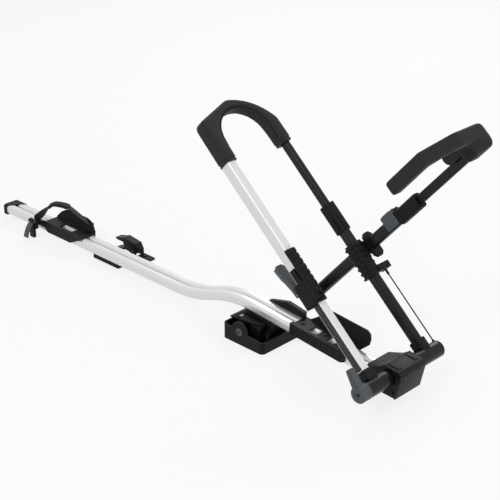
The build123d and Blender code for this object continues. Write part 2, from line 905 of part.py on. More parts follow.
def make_ratchet_housing():
    mid_y = (ratchet_near_y + ratchet_far_y) / 2
    width = ratchet_far_y - ratchet_near_y
    body = leg_bar(ratchet_start, ratchet_end, mid_y, width, ratchet_bottom, ratchet_top, ratchet_corner)
    near_tube_y = near_leg_y - near_tube_width / 2
    body += block(-cheek_end, -ratchet_end + overrun, ratchet_near_y + overrun, near_tube_y, cheek_bottom, cheek_top)
    tail = sqrt((grip_pin_station - grip_start) ** 2 + (grip_pin_level - grip_low) ** 2)
    body -= rod_y(-grip_pin_station, grip_pin_level, grip_near_y - overrun, grip_far_y + slide_gap, tail + run_gap)
    body += rod_y(-grip_pin_station, grip_pin_level, grip_mid_y - grip_ear_width / 2,
                  grip_mid_y + grip_ear_width / 2, grip_ear_radius)
    body += block(-grip_pin_station - grip_ear_radius, -grip_pin_station + grip_ear_radius,
                  grip_mid_y - grip_ear_width / 2, grip_mid_y + grip_ear_width / 2, near_tube_top,
                  grip_pin_level)
    body += rod_y(-release_pin_station, release_pin_level, release_mid_y - release_ear_width / 2,
                  release_mid_y + release_ear_width / 2, release_ear_radius)
    body += block(-release_pin_station - release_ear_radius, -release_pin_station + release_ear_radius,
                  release_mid_y - release_ear_width / 2, release_mid_y + release_ear_width / 2,
                  release_pin_level, ratchet_bottom + overrun)
    body -= leg_bar(near_tube_start, cheek_end + overrun, near_leg_y, near_tube_width, near_tube_bottom,
                    near_tube_top, near_tube_corner)
    body -= leg_bar(ratchet_start - overrun, near_tube_start + overrun, near_leg_y, bar_width + 2 * run_gap,
                    bar_bottom - run_gap, bar_top + run_gap, bar_corner)
    body -= rod_y(-grip_pin_station, grip_pin_level, grip_near_y, grip_far_y, grip_pin_radius)
    body -= rod_y(-release_pin_station, release_pin_level, ratchet_near_y, ratchet_far_y, release_pin_radius)
    pocket_y = near_leg_y - bar_width / 2 - run_gap
    body -= block(-ratchet_start - pawl_length, -ratchet_start - overrun - run_gap, pocket_y - pawl_height,
                  pocket_y + overrun, -pawl_width / 2, pawl_width / 2)
    return raise_hoop(body)


def make_ratchet_pawl():
    pocket_y = near_leg_y - bar_width / 2 - run_gap
    outline = [
        (-ratchet_start - pawl_length, pocket_y - pawl_height),
        (-ratchet_start - overrun - run_gap, pocket_y - pawl_height),
        (-ratchet_start - overrun - run_gap, pocket_y),
        (-ratchet_start - pawl_length, pocket_y - pawl_height / 2),
    ]
    return raise_hoop(flat_plate(outline, -pawl_width / 2, pawl_width / 2))


def make_ratchet_grip():
    width = grip_far_y - grip_near_y
    body = leg_bar(grip_start, grip_end, grip_mid_y, width, grip_low, grip_high, grip_corner)
    pitch = (grip_end - grip_start) / grip_rib_count
    for rib in range(grip_rib_count):
        start = grip_start + rib * pitch + pitch * (1 - grip_rib_share) / 2
        body += leg_bar(start, start + pitch * grip_rib_share, grip_mid_y, width - grip_corner,
                        grip_high - grip_corner, grip_high + grip_rib_height, grip_corner / 2)
    room = grip_ear_radius + run_gap
    body -= block(-grip_pin_station - room, -grip_start + overrun, grip_mid_y - grip_ear_width / 2 - run_gap,
                  grip_mid_y + grip_ear_width / 2 + run_gap, grip_low - overrun, grip_high + grip_rib_height + overrun)
    body -= rod_y(-grip_pin_station, grip_pin_level, grip_near_y + overrun, grip_far_y - overrun,
                  grip_pin_radius + pin_gap)
    return raise_hoop(body)


def make_grip_pin():
    return raise_hoop(rod_y(-grip_pin_station, grip_pin_level, grip_near_y + overrun + run_gap,
                            grip_far_y - overrun - run_gap, grip_pin_radius))


def make_release_lever():
    root = release_pin_station
    outline = [
        (-root + release_ear_radius, release_pin_level - release_root_wall / 2),
        (-root + release_ear_radius, release_pin_level + release_pin_radius / 2),
        (-root, ratchet_bottom - run_gap * 2),
        (-ratchet_end, ratchet_bottom - run_gap * 2),
        (-release_tip_station, release_tip_level + release_tip_wall),
        (-release_tip_station, release_tip_level),
        (-release_tip_station + release_tip_wall, release_tip_level - release_tip_wall / 3),
    ]
    lever = side_plate(outline, release_mid_y - release_width / 2, release_mid_y + release_width / 2)
    slope = (release_tip_level - release_pin_level) / (release_tip_station - release_pin_station)
    for rib in range(release_rib_count):
        station = release_tip_station - release_tip_wall - rib * release_rib_pitch
        level = release_pin_level - release_root_wall / 2 + (station - root) * slope
        lever += block(-station - release_rib_pitch / 4, -station + release_rib_pitch / 4,
                       release_mid_y - release_width / 2, release_mid_y + release_width / 2,
                       level - release_rib_height, level + release_root_wall / 2)
    half = release_width / 2
    neck = half * release_neck_share
    lever &= flat_plate([
        (-root + release_ear_radius, release_mid_y - neck), (-ratchet_end, release_mid_y - neck),
        (-release_tip_station + half * 2, release_mid_y - half),
        (-release_tip_station + half / 2, release_mid_y - half), (-release_tip_station, release_mid_y - half / 2),
        (-release_tip_station, release_mid_y + half / 2), (-release_tip_station + half / 2, release_mid_y + half),
        (-release_tip_station + half * 2, release_mid_y + half), (-ratchet_end, release_mid_y + neck),
        (-root + release_ear_radius, release_mid_y + neck),
    ], release_tip_level * 2, 0)
    room = release_ear_radius + run_gap
    lever -= block(-root - room, -root + room + overrun, release_mid_y - release_ear_width / 2 - run_gap,
                   release_mid_y + release_ear_width / 2 + run_gap, release_pin_level - release_root_wall,
                   ratchet_bottom + overrun)
    lever -= rod_y(-root, release_pin_level, release_mid_y - release_width, release_mid_y + release_width,
                   release_pin_radius + pin_gap)
    return raise_hoop(lever)


def make_release_pin():
    half = release_width / 2 * release_neck_share - overrun
    return raise_hoop(rod_y(-release_pin_station, release_pin_level, release_mid_y - half, release_mid_y + half,
                            release_pin_radius))


def make_fold_lock_lever():
    hub = rod_y(0, 0, hub_near_y, tube_near_y - hub_gap, hub_radius)
    hub = fillet(hub.edges().group_by(Axis.Y)[0], hub_round)
    hub += rod_y(0, 0, tube_near_y - hub_gap, tube_near_y + hub_spigot_length, tube_radius - tube_wall - pin_gap)
    blade = side_plate([
        (0, -lever_root_width / 2),
        (lever_reach - lever_tip_width / 3, -lever_tip_width / 2),
        (lever_reach, -lever_tip_width / 3),
        (lever_reach, lever_tip_width / 3),
        (lever_reach - lever_tip_width / 3, lever_tip_width / 2),
        (0, lever_root_width / 2),
    ], lever_near_y, lever_far_y)
    for rib in range(lever_rib_count):
        x = lever_reach - lever_tip_width / 2 - rib * lever_rib_pitch
        blade += block(x - lever_rib_pitch / 4, x + lever_rib_pitch / 4, lever_near_y - lever_rib, lever_near_y,
                       -lever_tip_width / 3, lever_tip_width / 3)
    lever = hub + Rot(0, -lever_angle_deg, 0) * blade
    lever -= rod_y(0, 0, hub_near_y - overrun, hub_near_y + hub_recess_depth, hub_recess_radius)
    lever -= rod_y(0, 0, hub_near_y - overrun, hub_near_y + core_length, core_radius)
    return on_axis(lever)


def make_lock_core():
    core = rod_y(0, 0, hub_near_y + overrun, hub_near_y + core_length, core_radius)
    key_way = block(-core_radius / 2, core_radius / 2, hub_near_y, hub_near_y + hub_recess_depth + overrun,
                    -run_gap, run_gap)
    return on_axis(core - key_way)


arm_near_y = arm_y - arm_width / 2
arm_far_y = arm_y + arm_width / 2


def make_hook_arm_tube():
    tube = rounded_bar(arm_tail, arm_end, arm_near_y, arm_far_y, -arm_half_height, arm_half_height, arm_corner)
    tube -= rounded_bar(arm_tail - overrun, arm_end + overrun, arm_near_y + arm_wall, arm_far_y - arm_wall,
                        -arm_half_height + arm_wall, arm_half_height - arm_wall, arm_corner - arm_wall)
    tube -= rod_y(0, 0, arm_near_y - overrun, arm_far_y + overrun, pin_radius)
    return raise_arm(tube)


def make_hook_arm_tail_cap():
    cap = rounded_bar(arm_tail - tail_cap_length / 2, arm_tail, arm_near_y, arm_far_y, -arm_half_height,
                      arm_half_height, arm_corner)
    cap += rounded_bar(arm_tail, arm_tail + tail_cap_length, arm_near_y + arm_wall, arm_far_y - arm_wall,
                       -arm_half_height + arm_wall, arm_half_height - arm_wall, arm_corner - arm_wall)
    return raise_arm(cap)


def make_hook_arm_bracket():
    cut = flange_chamfer
    flange = cross_plate([
        (flange_near_y, flange_low + cut), (flange_near_y + cut, flange_low), (flange_far_y - cut, flange_low),
        (flange_far_y, flange_low + cut), (flange_far_y, flange_high - cut), (flange_far_y - cut, flange_high),
        (flange_near_y + cut, flange_high), (flange_near_y, flange_high - cut),
    ], flange_start, flange_start + flange_wall)
    yoke = rounded_bar(-yoke_half_length, flange_start + overrun, flange_near_y, yoke_far_y, -yoke_half_height,
                       yoke_half_height, arm_corner)
    bracket = flange + yoke
    bracket -= rounded_bar(arm_tail, arm_end, arm_near_y, arm_far_y, -arm_half_height, arm_half_height, arm_corner)
    bracket -= rod_y(0, 0, flange_near_y - overrun, flange_far_y + overrun, pin_radius)
    return raise_arm(bracket)


def make_hook_pivot_pin():
    outer_wall = far_leg_y + lower_tube_width / 2
    pin = rod_y(0, 0, outer_wall + run_gap, yoke_far_y, pin_radius - pin_gap)
    pin += rod_y(0, 0, yoke_far_y, yoke_far_y + pin_head_height, pin_head_radius)
    return raise_arm(pin)


def make_hook_arm_sleeve():
    sleeve = rounded_bar(sleeve_start, sleeve_end, arm_y - sleeve_width / 2, arm_y + sleeve_width / 2,
                         -sleeve_half_height, sleeve_half_height, sleeve_corner)
    inner = sleeve_width / 2 - sleeve_groove
    for groove in range(sleeve_groove_count):
        x = sleeve_end - sleeve_groove_pitch * (groove + 1)
        ring = rounded_bar(x, x + sleeve_groove_length, arm_y - sleeve_width, arm_y + sleeve_width,
                           -2 * sleeve_half_height, 2 * sleeve_half_height, sleeve_corner)
        ring -= rounded_bar(x - overrun, x + sleeve_groove_length + overrun, arm_y - inner, arm_y + inner,
                            -sleeve_half_height + sleeve_groove, sleeve_half_height - sleeve_groove,
                            sleeve_corner - sleeve_groove)
        sleeve -= ring
    sleeve += rod_y(thumb_pin_station, thumb_pin_level, arm_y - thumb_ear_width / 2, arm_y + thumb_ear_width / 2,
                    thumb_ear_radius)
    sleeve += block(thumb_pin_station, sleeve_start + overrun, arm_y - thumb_ear_width / 2,
                    arm_y + thumb_ear_width / 2, arm_half_height, thumb_pin_level + thumb_ear_radius)
    sleeve -= rod_y(thumb_pin_station, thumb_pin_level, arm_y - thumb_ear_width, arm_y + thumb_ear_width,
                    thumb_pin_radius)
    sleeve -= rounded_bar(thumb_start, arm_end, arm_near_y, arm_far_y, -arm_half_height, arm_half_height,
                          arm_corner)
    sleeve -= rounded_bar(arm_end - overrun, sleeve_end + overrun, arm_y - inner_width / 2 - run_gap,
                          arm_y + inner_width / 2 + run_gap, -inner_half_height - run_gap,
                          inner_half_height + run_gap, inner_corner)
    return raise_arm(sleeve)


def make_thumb_lever():
    saddle = rounded_bar(thumb_start, sleeve_start - overrun, thumb_near_y, thumb_far_y, thumb_low, thumb_high,
                         arm_corner / 2)
    saddle -= block(thumb_start - overrun, sleeve_start, thumb_near_y + thumb_skin, thumb_far_y + overrun,
                    thumb_low - overrun, arm_half_height + run_gap)
    saddle -= block(sleeve_start - 4 * overrun, sleeve_start, thumb_near_y - overrun, thumb_far_y + overrun,
                    thumb_low - overrun, thumb_pin_level - thumb_ear_radius)
    room = thumb_ear_radius + run_gap
    saddle -= block(thumb_pin_station - room, sleeve_start, thumb_near_y + thumb_skin, thumb_far_y + overrun,
                    arm_half_height, thumb_pin_level - room)
    saddle -= block(thumb_pin_station - room, sleeve_start, arm_y - thumb_ear_width / 2 - slide_gap,
                    arm_y + thumb_ear_width / 2 + slide_gap, arm_half_height, thumb_high + overrun)
    for rib in range(thumb_rib_count):
        x = thumb_start + (rib + 1) * thumb_rib_pitch
        saddle += block(x, x + sleeve_groove_length / 2, thumb_near_y + thumb_skin, thumb_far_y - thumb_skin,
                        thumb_high - overrun, thumb_high + sleeve_groove)
    saddle -= rod_y(thumb_pin_station, thumb_pin_level, thumb_near_y + overrun, thumb_far_y - overrun,
                    thumb_pin_radius + pin_gap)
    return raise_arm(saddle)


def make_thumb_lever_pin():
    return raise_arm(rod_y(thumb_pin_station, thumb_pin_level, thumb_near_y + overrun + run_gap,
                           thumb_far_y - overrun - run_gap, thumb_pin_radius))


def inner_bar(start, end):
    return rounded_bar(start, end, arm_y - inner_width / 2, arm_y + inner_width / 2, -inner_half_height,
                       inner_half_height, inner_corner)


def make_hook_inner_bar():
    bar = inner_bar(inner_start, hook_top_inner)
    return raise_arm(bar - rod_y(inner_hole_station, 0, arm_y - inner_width, arm_y + inner_width,
                                 inner_hole_radius))


hook_top = hook_top_inner + hook_wall
hook_near_end = hook_top_inner - hook_near_reach
hook_far_end = hook_top_inner - hook_far_reach
hook_lobe_end = hook_top_inner - hook_lobe_reach


def make_hook_pad():
    crossing = flat_plate([
        (hook_near_end, hook_near_y), (hook_top - hook_mitre, hook_near_y), (hook_top, hook_mitre_y),
        (hook_top, hook_far_y), (hook_far_end, hook_far_y), (hook_far_end, hook_far_inner_y),
        (hook_top_inner, hook_far_inner_y), (hook_top_inner, hook_bevel_y),
        (hook_top_inner - hook_bevel, hook_near_inner_y), (hook_near_end, hook_near_inner_y),
    ], hook_low, hook_high)
    corners = crossing.edges().filter_by(Axis.Z)
    crossing = fillet(corners.filter_by(lambda e: abs(e.center().X - hook_top_inner) < overrun), hook_inner_round)
    lobe = block(hook_lobe_end, hook_top_inner, hook_far_inner_y, hook_lobe_y, hook_low, hook_high)
    lobe = fillet(lobe.edges().filter_by(Axis.Y).group_by(Axis.X)[0], hook_lobe_round)
    toe = block(hook_far_end, hook_top, hook_far_inner_y, hook_far_y, hook_toe_low, hook_high)
    pad = crossing + toe + lobe
    corners = pad.edges().filter_by(Axis.Z)
    pad = fillet(corners.filter_by(lambda e: e.center().X > hook_top - overrun and e.center().Y > arm_y),
                 hook_far_round)
    pad -= inner_bar(inner_start, hook_top_inner)
    return raise_arm(pad)


def make_foot_shell():
    rear, front = -foot_half_length, foot_half_length
    outline = [(rear, 0), (front, 0), (front, foot_front_height), (rear, foot_rear_height)]
    shell = side_plate(outline, -foot_half_width, foot_half_width)
    shell = fillet(shell.edges().filter_by(Axis.Z), foot_corner)
    inner = side_plate([
        (rear + foot_wall, foot_floor), (front - foot_wall, foot_floor),
        (front - foot_wall, foot_rear_height + overrun), (rear + foot_wall, foot_rear_height + overrun),
    ], -foot_half_width + foot_wall, foot_half_width - foot_wall)
    shell -= fillet(inner.edges().filter_by(Axis.Z), foot_corner - foot_wall)
    for side in (-1, 1):
        outer = side * foot_half_width
        inner_y = side * (foot_half_width - foot_wall)
        shell += rod_y(knob_x, knob_z, outer, inner_y, bump_radius)
    shell += rod_y(knob_x, knob_z, -foot_half_width, -foot_half_width + boss_depth, boss_radius)
    recess = -foot_half_width + knob_depth
    shell -= rod_y(knob_x, knob_z, -foot_half_width - overrun, recess, knob_radius + slide_gap)
    shell -= rod_y(knob_x, knob_z, -foot_half_width, -foot_half_width + boss_depth + overrun,
                   spindle_radius + pin_gap)
    for x_side in (-1, 1):
        for y_side in (-1, 1):
            shell -= slot_z(x_side * slot_spacing_x / 2, y_side * slot_spacing_y / 2, -overrun,
                            foot_floor + overrun, slot_length, slot_radius, 0)
    return shell - block(rear - overrun, front + overrun, -foot_half_width - overrun, foot_half_width + overrun,
                         -foot_half_width, 0)


def make_foot_clamp_block():
    slope = tan(front_slope)
    level = rail_mid_z + bend_rise - rail_height / 2

    def under_rail(x):
        return level - (x - bend_high_x) * slope
    inner = clamp_wall
    outline = [
        (clamp_rear_x, foot_floor), (clamp_front_x, foot_floor), (clamp_front_x, under_rail(clamp_front_x)),
        (clamp_rear_x, under_rail(clamp_rear_x)),
    ]
    body = side_plate(outline, -clamp_half_width, clamp_half_width)
    body -= block(clamp_rear_x + inner, clamp_front_x - inner, -clamp_half_width - overrun,
                  clamp_half_width + overrun, foot_floor + inner, knob_z + boss_radius)
    body += rod_y(knob_x, knob_z, -clamp_half_width, clamp_half_width, spindle_radius + clamp_wall / 2)
    body += block(knob_x - clamp_wall / 2, knob_x + clamp_wall / 2, -clamp_half_width, clamp_half_width,
                  foot_floor, knob_z)
    body -= rod_y(knob_x, knob_z, -clamp_half_width - overrun, clamp_half_width + overrun,
                  spindle_radius + pin_gap)
    return body - filled_rail()


def make_foot_jaw():
    plate = flat_plate([
        (jaw_tip_x, jaw_near_y + jaw_notch / 2), (jaw_tip_x + jaw_notch, jaw_near_y), (jaw_front_x, jaw_near_y),
        (jaw_front_x, jaw_far_y), (jaw_tip_x + jaw_notch, jaw_far_y), (jaw_tip_x, jaw_far_y - jaw_notch / 2),
    ], jaw_z, jaw_z + jaw_wall)
    plate -= block(jaw_tip_x - overrun, jaw_tip_x + jaw_notch, jaw_near_y + jaw_notch * 1.5,
                   jaw_far_y - jaw_notch * 1.5, jaw_z - overrun, jaw_z + jaw_wall + overrun)
    legs = Part()
    for side in (-1, 1):
        y = side * (clamp_half_width + jaw_notch)
        legs += block(jaw_front_x - jaw_notch, jaw_front_x - jaw_notch / 2, y - jaw_wall, y + jaw_wall,
                      foot_floor + slide_gap, jaw_z)
    plate += legs
    plate -= block(clamp_rear_x - slide_gap, clamp_front_x, -clamp_half_width - slide_gap,
                   clamp_half_width + slide_gap, foot_floor, jaw_z + jaw_wall + overrun)
    return plate


def make_foot_bolts():
    bolts = []
    for side in (-1, 1):
        y = side * (clamp_half_width + jaw_notch / 1.5)
        x = jaw_front_x - jaw_notch
        head = rod_z(x, y, jaw_z + jaw_wall, jaw_z + jaw_wall + bolt_head_height, bolt_head_radius)
        bolts.append(head)
    return Compound(children=bolts)


def make_torque_knob():
    face = -foot_half_width - knob_proud
    seat = -foot_half_width + knob_depth - run_gap
    knob = rod_y(knob_x, knob_z, face, seat, knob_radius)
    knob = chamfer(knob.edges().group_by(Axis.Y)[0], knob_proud / 3)
    knob -= rod_y(knob_x, knob_z, face - overrun, face + knob_proud, spindle_radius + overrun)
    return knob


def make_torque_spindle():
    seat = -foot_half_width + knob_depth - run_gap
    return rod_y(knob_x, knob_z, seat, spindle_end_y, spindle_radius)


rail_top_local = rail_height / 2
rail_side = rail_width / 2


def make_wheel_cradle():
    near_out = -rail_side - slide_gap - cradle_wall
    near_in = -rail_side - slide_gap
    far_in = rail_side + slide_gap
    far_out = far_in + cradle_wall
    floor_low = rail_top_local + slide_gap
    floor_high = floor_low + cradle_floor
    body = block(cradle_start, cradle_end, near_out, far_out, floor_low, floor_high)
    skirt = side_plate([
        (cradle_start, skirt_low), (cradle_end - cradle_wall * 3, skirt_low - cradle_wall / 2),
        (cradle_end, skirt_low + cradle_wall), (cradle_end, skirt_high), (cradle_start, skirt_high),
    ], near_out, near_in)
    body += skirt
    rib_pitch = (cradle_end - cradle_start) / cradle_rib_count
    for rib in range(cradle_rib_count):
        start = cradle_start + rib * rib_pitch
        body += block(start, start + cradle_wall / 2, near_out - cradle_wall / 3, near_out, skirt_low + cradle_wall,
                      skirt_high - cradle_wall)
    body += block(cradle_start, cradle_end, near_out - cradle_wall / 2, near_in + cradle_wall,
                  skirt_high - cradle_wall / 2, skirt_high + cradle_wall / 3)
    wing_face = [
        (wing_start, wing_low), (wing_end - wing_round * 2, wing_low), (wing_end, wing_high / 2),
        (wing_end, wing_high - wing_round), (wing_end - wing_round / 3, wing_high - wing_round / 3),
        (wing_end - wing_round, wing_high), (wing_crest, wing_high), (wing_start, floor_high),
    ]
    lean = cross_plate([
        (far_in, wing_low - overrun), (far_out, wing_low - overrun), (far_out, floor_high),
        (far_out + wing_lean, wing_high + overrun), (far_in + wing_lean, wing_high + overrun), (far_in, floor_high),
    ], wing_start - overrun, wing_end + overrun)
    body += side_plate(wing_face, far_in, far_out + wing_lean + overrun) & lean
    horn_face = [
        (horn_start, floor_low), (horn_start + horn_wall, floor_high), (horn_peak, horn_high),
        (horn_end, horn_low_end), (horn_end, floor_low),
    ]
    horn = side_plate(horn_face, far_in - horn_wall, far_out)
    body += horn
    body += block(horn_end - horn_wall, wing_start + horn_wall, far_in, far_out, wing_low, floor_high)
    body += block(horn_start + horn_wall * 4, horn_end, far_in, far_out, wing_low, floor_low)
    span = cradle_end - cradle_start
    for share in window_stations_share:
        mid = cradle_start + share * span
        body -= block(mid - window_length / 2, mid + window_length / 2, -window_width / 2, window_width / 2,
                      floor_low - overrun, floor_high + overrun)
    return on_slope(body)


def make_cradle_screws():
    span = cradle_end - cradle_start
    floor_high = rail_top_local + slide_gap + cradle_floor
    screws = []
    for share in screw_stations_share:
        screws.append(on_slope(rod_z(cradle_start + share * span, 0, floor_high, floor_high + screw_head_height,
                                     screw_head_radius)))
    return Compound(children=screws)


def make_rear_mount_pad():
    pad = block(mount_rear_x, mount_front_x, mount_near_y, mount_pad_far_y, 0, plate_low)
    pitch = (mount_front_x - mount_rear_x) / mount_rib_count
    for rib in range(mount_rib_count):
        x = mount_rear_x + (rib + 1 / 2) * pitch
        pad += block(x - pitch / 5, x + pitch / 5, mount_near_y - mount_rib_depth, mount_near_y, 0, plate_low)
    return pad


def make_rear_mount_plate():
    plate = block(mount_rear_x, mount_front_x, mount_near_y, rail_side + cradle_wall, plate_low,
                  plate_low + plate_wall)
    plate += block(mount_rear_x, mount_front_x, mount_near_y, rail_side, plate_low, rail_base_z - slide_gap)
    plate += block(plate_rear_x, plate_front_x, -mount_near_y, mount_far_y, plate_low, plate_low + plate_wall)
    pitch = (mount_front_x - mount_rear_x) / mount_rib_count
    for rib in range(mount_rib_count):
        x = mount_rear_x + (rib + 1 / 2) * pitch
        plate += block(x - pitch / 5, x + pitch / 5, mount_near_y - mount_rib_depth, mount_near_y, plate_low,
                       rail_base_z - slide_gap * 2)
    for y in (plate_slot_y, plate_slot_y - plate_slot_pitch):
        plate -= slot_z(plate_slot_x, y, 0, plate_low + plate_wall + overrun, plate_slot_length, slot_radius, 90)
    plate -= block(plate_rear_x - overrun, claw_pin_x + claw_knuckle_radius + slide_gap, claw_near_y - slide_gap,
                   claw_far_y + slide_gap, 0, plate_low + plate_wall + overrun)
    ears = Part()
    for y0 in (claw_near_y - claw_ear_wall - slide_gap, claw_far_y + slide_gap):
        ear = rod_y(claw_pin_x, claw_pin_z, y0, y0 + claw_ear_wall, claw_knuckle_radius)
        ear += block(claw_pin_x - claw_knuckle_radius, claw_pin_x + claw_knuckle_radius, y0, y0 + claw_ear_wall,
                     plate_low, claw_pin_z)
        ears += ear
    ears -= rod_y(claw_pin_x, claw_pin_z, 0, mount_far_y + claw_far_y, claw_pin_radius)
    return plate + ears


def make_rear_mount_foot():
    """Rubber foot under the far half of the plate."""
    return block(plate_rear_x, plate_foot_front_x, mount_pad_far_y + claw_ear_wall, claw_near_y - claw_ear_wall, 0,
                 plate_low)


def make_rear_claw():
    outline = [
        (claw_tip_x, claw_high - claw_ear_wall * 2), (claw_tip_x + claw_ear_wall * 4, claw_high - claw_ear_wall),
        (claw_mouth_x, claw_high), (claw_front_x - claw_ear_wall, claw_high - claw_ear_wall),
        (claw_front_x, claw_mouth_high), (claw_pin_x + claw_knuckle_radius, claw_pin_z),
        (claw_pin_x, claw_pin_z - claw_knuckle_radius), (claw_mouth_x + claw_ear_wall, claw_lip_low + plate_wall * 2),
        (claw_tip_x + claw_ear_wall, claw_lip_low), (claw_tip_x, claw_lip_low + claw_ear_wall),
        (claw_mouth_x - claw_ear_wall, claw_mouth_low + claw_ear_wall), (claw_mouth_x, claw_pin_z),
        (claw_mouth_x - claw_ear_wall, claw_mouth_high - overrun),
        (claw_tip_x + claw_ear_wall, claw_mouth_high - overrun),
    ]
    claw = side_plate(outline, claw_near_y, claw_far_y)
    claw += rod_y(claw_pin_x, claw_pin_z, claw_near_y, claw_far_y, claw_knuckle_radius)
    claw -= rod_y(claw_pin_x, claw_pin_z, claw_near_y - overrun, claw_far_y + overrun, claw_pin_radius + pin_gap)
    return claw


def make_rear_claw_pin():
    return rod_y(claw_pin_x, claw_pin_z, claw_near_y - claw_ear_wall - slide_gap,
                 claw_far_y + slide_gap + claw_ear_wall, claw_pin_radius)


rail_top_z = rail_base_z + rail_height


def make_rear_wheel_tray():
    near_in = -rail_side - slide_gap
    near_out = near_in - tray_wall
    far_in = rail_side + slide_gap
    far_out = far_in + tray_wall
    low = rail_top_z + slide_gap
    high = low + tray_floor
    tray = block(tray_rear_x, tray_front_x, near_out, far_out, low, high)
    near_face = [
        (tray_rear_x, low), (tray_rear_x + tray_near_low, tray_near_low), (tray_front_x - tray_near_low * 2,
                                                                           tray_near_low),
        (tray_front_x, low), (tray_front_x - tray_near_low, tray_near_high), (tray_rear_x + tray_wall,
                                                                             tray_near_high),
    ]
    tray += side_plate(near_face, near_out, near_in)
    far_face = [
        (tray_rear_x, low), (tray_rear_x + tray_far_low, tray_far_low), (tray_front_x - tray_far_low, tray_far_low),
        (tray_front_x, low), (tray_front_x, high + tray_floor),
        (tray_front_x - tray_far_low * 2 / 3, tray_far_high - tray_far_low / 2),
        (tray_front_x - tray_far_low * 4 / 3, tray_far_high - tray_floor),
        (tray_front_x - tray_far_low * 2, tray_far_high), (tray_rear_x + tray_far_low * 2, tray_far_high),
        (tray_rear_x + tray_far_low * 4 / 3, tray_far_high - tray_floor),
        (tray_rear_x + tray_far_low * 2 / 3, tray_far_high - tray_far_low / 2),
        (tray_rear_x, high + tray_floor),
    ]
    lean = cross_plate([
        (far_in, 0), (far_out, 0), (far_out, high), (far_out + tray_far_lean, tray_far_high + overrun),
        (far_in + tray_far_lean, tray_far_high + overrun), (far_in, high),
    ], tray_rear_x - overrun, tray_front_x + overrun)
    tray += side_plate(far_face, far_in, far_out + tray_far_lean + overrun) & lean
    mid = (tray_rear_x + tray_front_x) / 2
    for side in (-1, 1):
        x = mid + side * tray_window_length / 4
        tray += cross_plate([
            (far_out, tray_far_low), (far_out + tray_wall, tray_far_low), (far_out + tray_wall, high),
            (far_out + tray_far_lean + tray_wall / 2, tray_far_high - tray_wall), (far_out, high),
        ], x - tray_wall / 2, x + tray_wall / 2)
    tray -= block(mid - tray_window_length / 2, mid + tray_window_length / 2, -tray_window_width / 2,
                  tray_window_width / 2, low - overrun, high + overrun)
    shelf_x = strap_end_x - strap_width / 2
    tray += block(shelf_x, shelf_x + strap_width, far_out - overrun, strap_end_y - strap_wall,
                  rail_base_z + tray_wall, low)
    tray += block(tray_rear_x - strap_width, tray_rear_x + tray_wall, near_out, near_in, low - tray_near_low / 2,
                  high + tray_floor)
    tray += block(tray_rear_x - strap_width, tray_rear_x + overrun, near_out, near_in + tray_wall * 2, low, high)
    return tray - strap_slot() - strap_band(strap_pad_width + 2 * slide_gap, strap_pad_wall + 2 * slide_gap, 2,
                                            len(strap_points()) - 1)


def strap_points():
    """Arch of the strap: distance along its own vertical plane, and height."""
    run = sqrt((strap_end_x - strap_start_x) ** 2 + (strap_end_y - strap_start_y) ** 2)
    rise_share = ((0.0, 0.0), (0.17, 0.46), (0.34, 0.98), (0.58, 0.96), (0.82, 0.46), (1.0, 0.2))
    crest = tray_far_high - tray_floor - rail_top_z + buckle_length
    base = rail_top_z + tray_floor + strap_wall
    return [(share * run, base + rise * crest) for share, rise in rise_share]


def on_strap(piece):
    """The strap crosses the tray at a slant, from the near rear to the far front."""
    return Pos(strap_start_x, strap_start_y, 0) * Rot(0, 0, strap_turn_deg) * piece


def strap_band(width, wall, first, last):
    """Flat band along part of the strap's arch."""
    points = strap_points()[first:last]
    path = FilletPolyline(*[(x, 0, z) for x, z in points], radius=strap_width)
    heading = Vector(points[1][0] - points[0][0], 0, points[1][1] - points[0][1])
    start = Plane(origin=(points[0][0], 0, points[0][1]), x_dir=(0, 1, 0), z_dir=heading)
    return on_strap(sweep(start * Rectangle(width, wall), path=path))


def make_wheel_strap():
    return strap_band(strap_width, strap_wall, 0, len(strap_points()))


def strap_slot():
    """Room that the strap needs where it passes through something."""
    return strap_band(strap_width + 2 * slide_gap, strap_wall + 2 * slide_gap, 0, len(strap_points()))


def make_strap_pad():
    sleeve = strap_band(strap_pad_width, strap_pad_wall, 2, len(strap_points()) - 1)
    return sleeve - strap_slot()


def make_buckle_body():
    near = buckle_near_y
    far = near + buckle_depth
    rear = buckle_x - buckle_length / 2
    front = buckle_x + buckle_length / 2
    body = block(rear, front, near + buckle_lever_wall + slide_gap, far, buckle_z - buckle_height / 2,
                 buckle_z + buckle_height / 2)
    tail_y = near + buckle_lever_wall + slide_gap
    body += block(buckle_x - strap_width / 2, buckle_x + strap_width / 2, tail_y, tail_y + strap_wall,
                  buckle_z - buckle_height / 2 - tail_length, buckle_z)
    body += block(tray_rear_x - strap_width + overrun, front, far - overrun, -rail_side - slide_gap - tray_wall,
                  buckle_z, buckle_z + buckle_height / 4)
    for side in (-1, 1):
        x = buckle_x + side * (buckle_lever_width / 2 + slide_gap)
        body += block(x, x + side * tray_wall, near, near + buckle_lever_wall + overrun,
                      buckle_z + buckle_height / 4, buckle_z + buckle_height / 2)
    pin_z = buckle_z + buckle_height / 2 - buckle_pin_radius * 1.5
    pin_y = near + buckle_lever_wall / 2
    return body - rod_x(rear - overrun, front + overrun, pin_y, pin_z, buckle_pin_radius) - strap_slot()


def make_buckle_pin():
    pin_z = buckle_z + buckle_height / 2 - buckle_pin_radius * 1.5
    pin_y = buckle_near_y + buckle_lever_wall / 2
    reach = buckle_lever_width / 2 + slide_gap + tray_wall
    return rod_x(buckle_x - reach, buckle_x + reach, pin_y, pin_z, buckle_pin_radius)


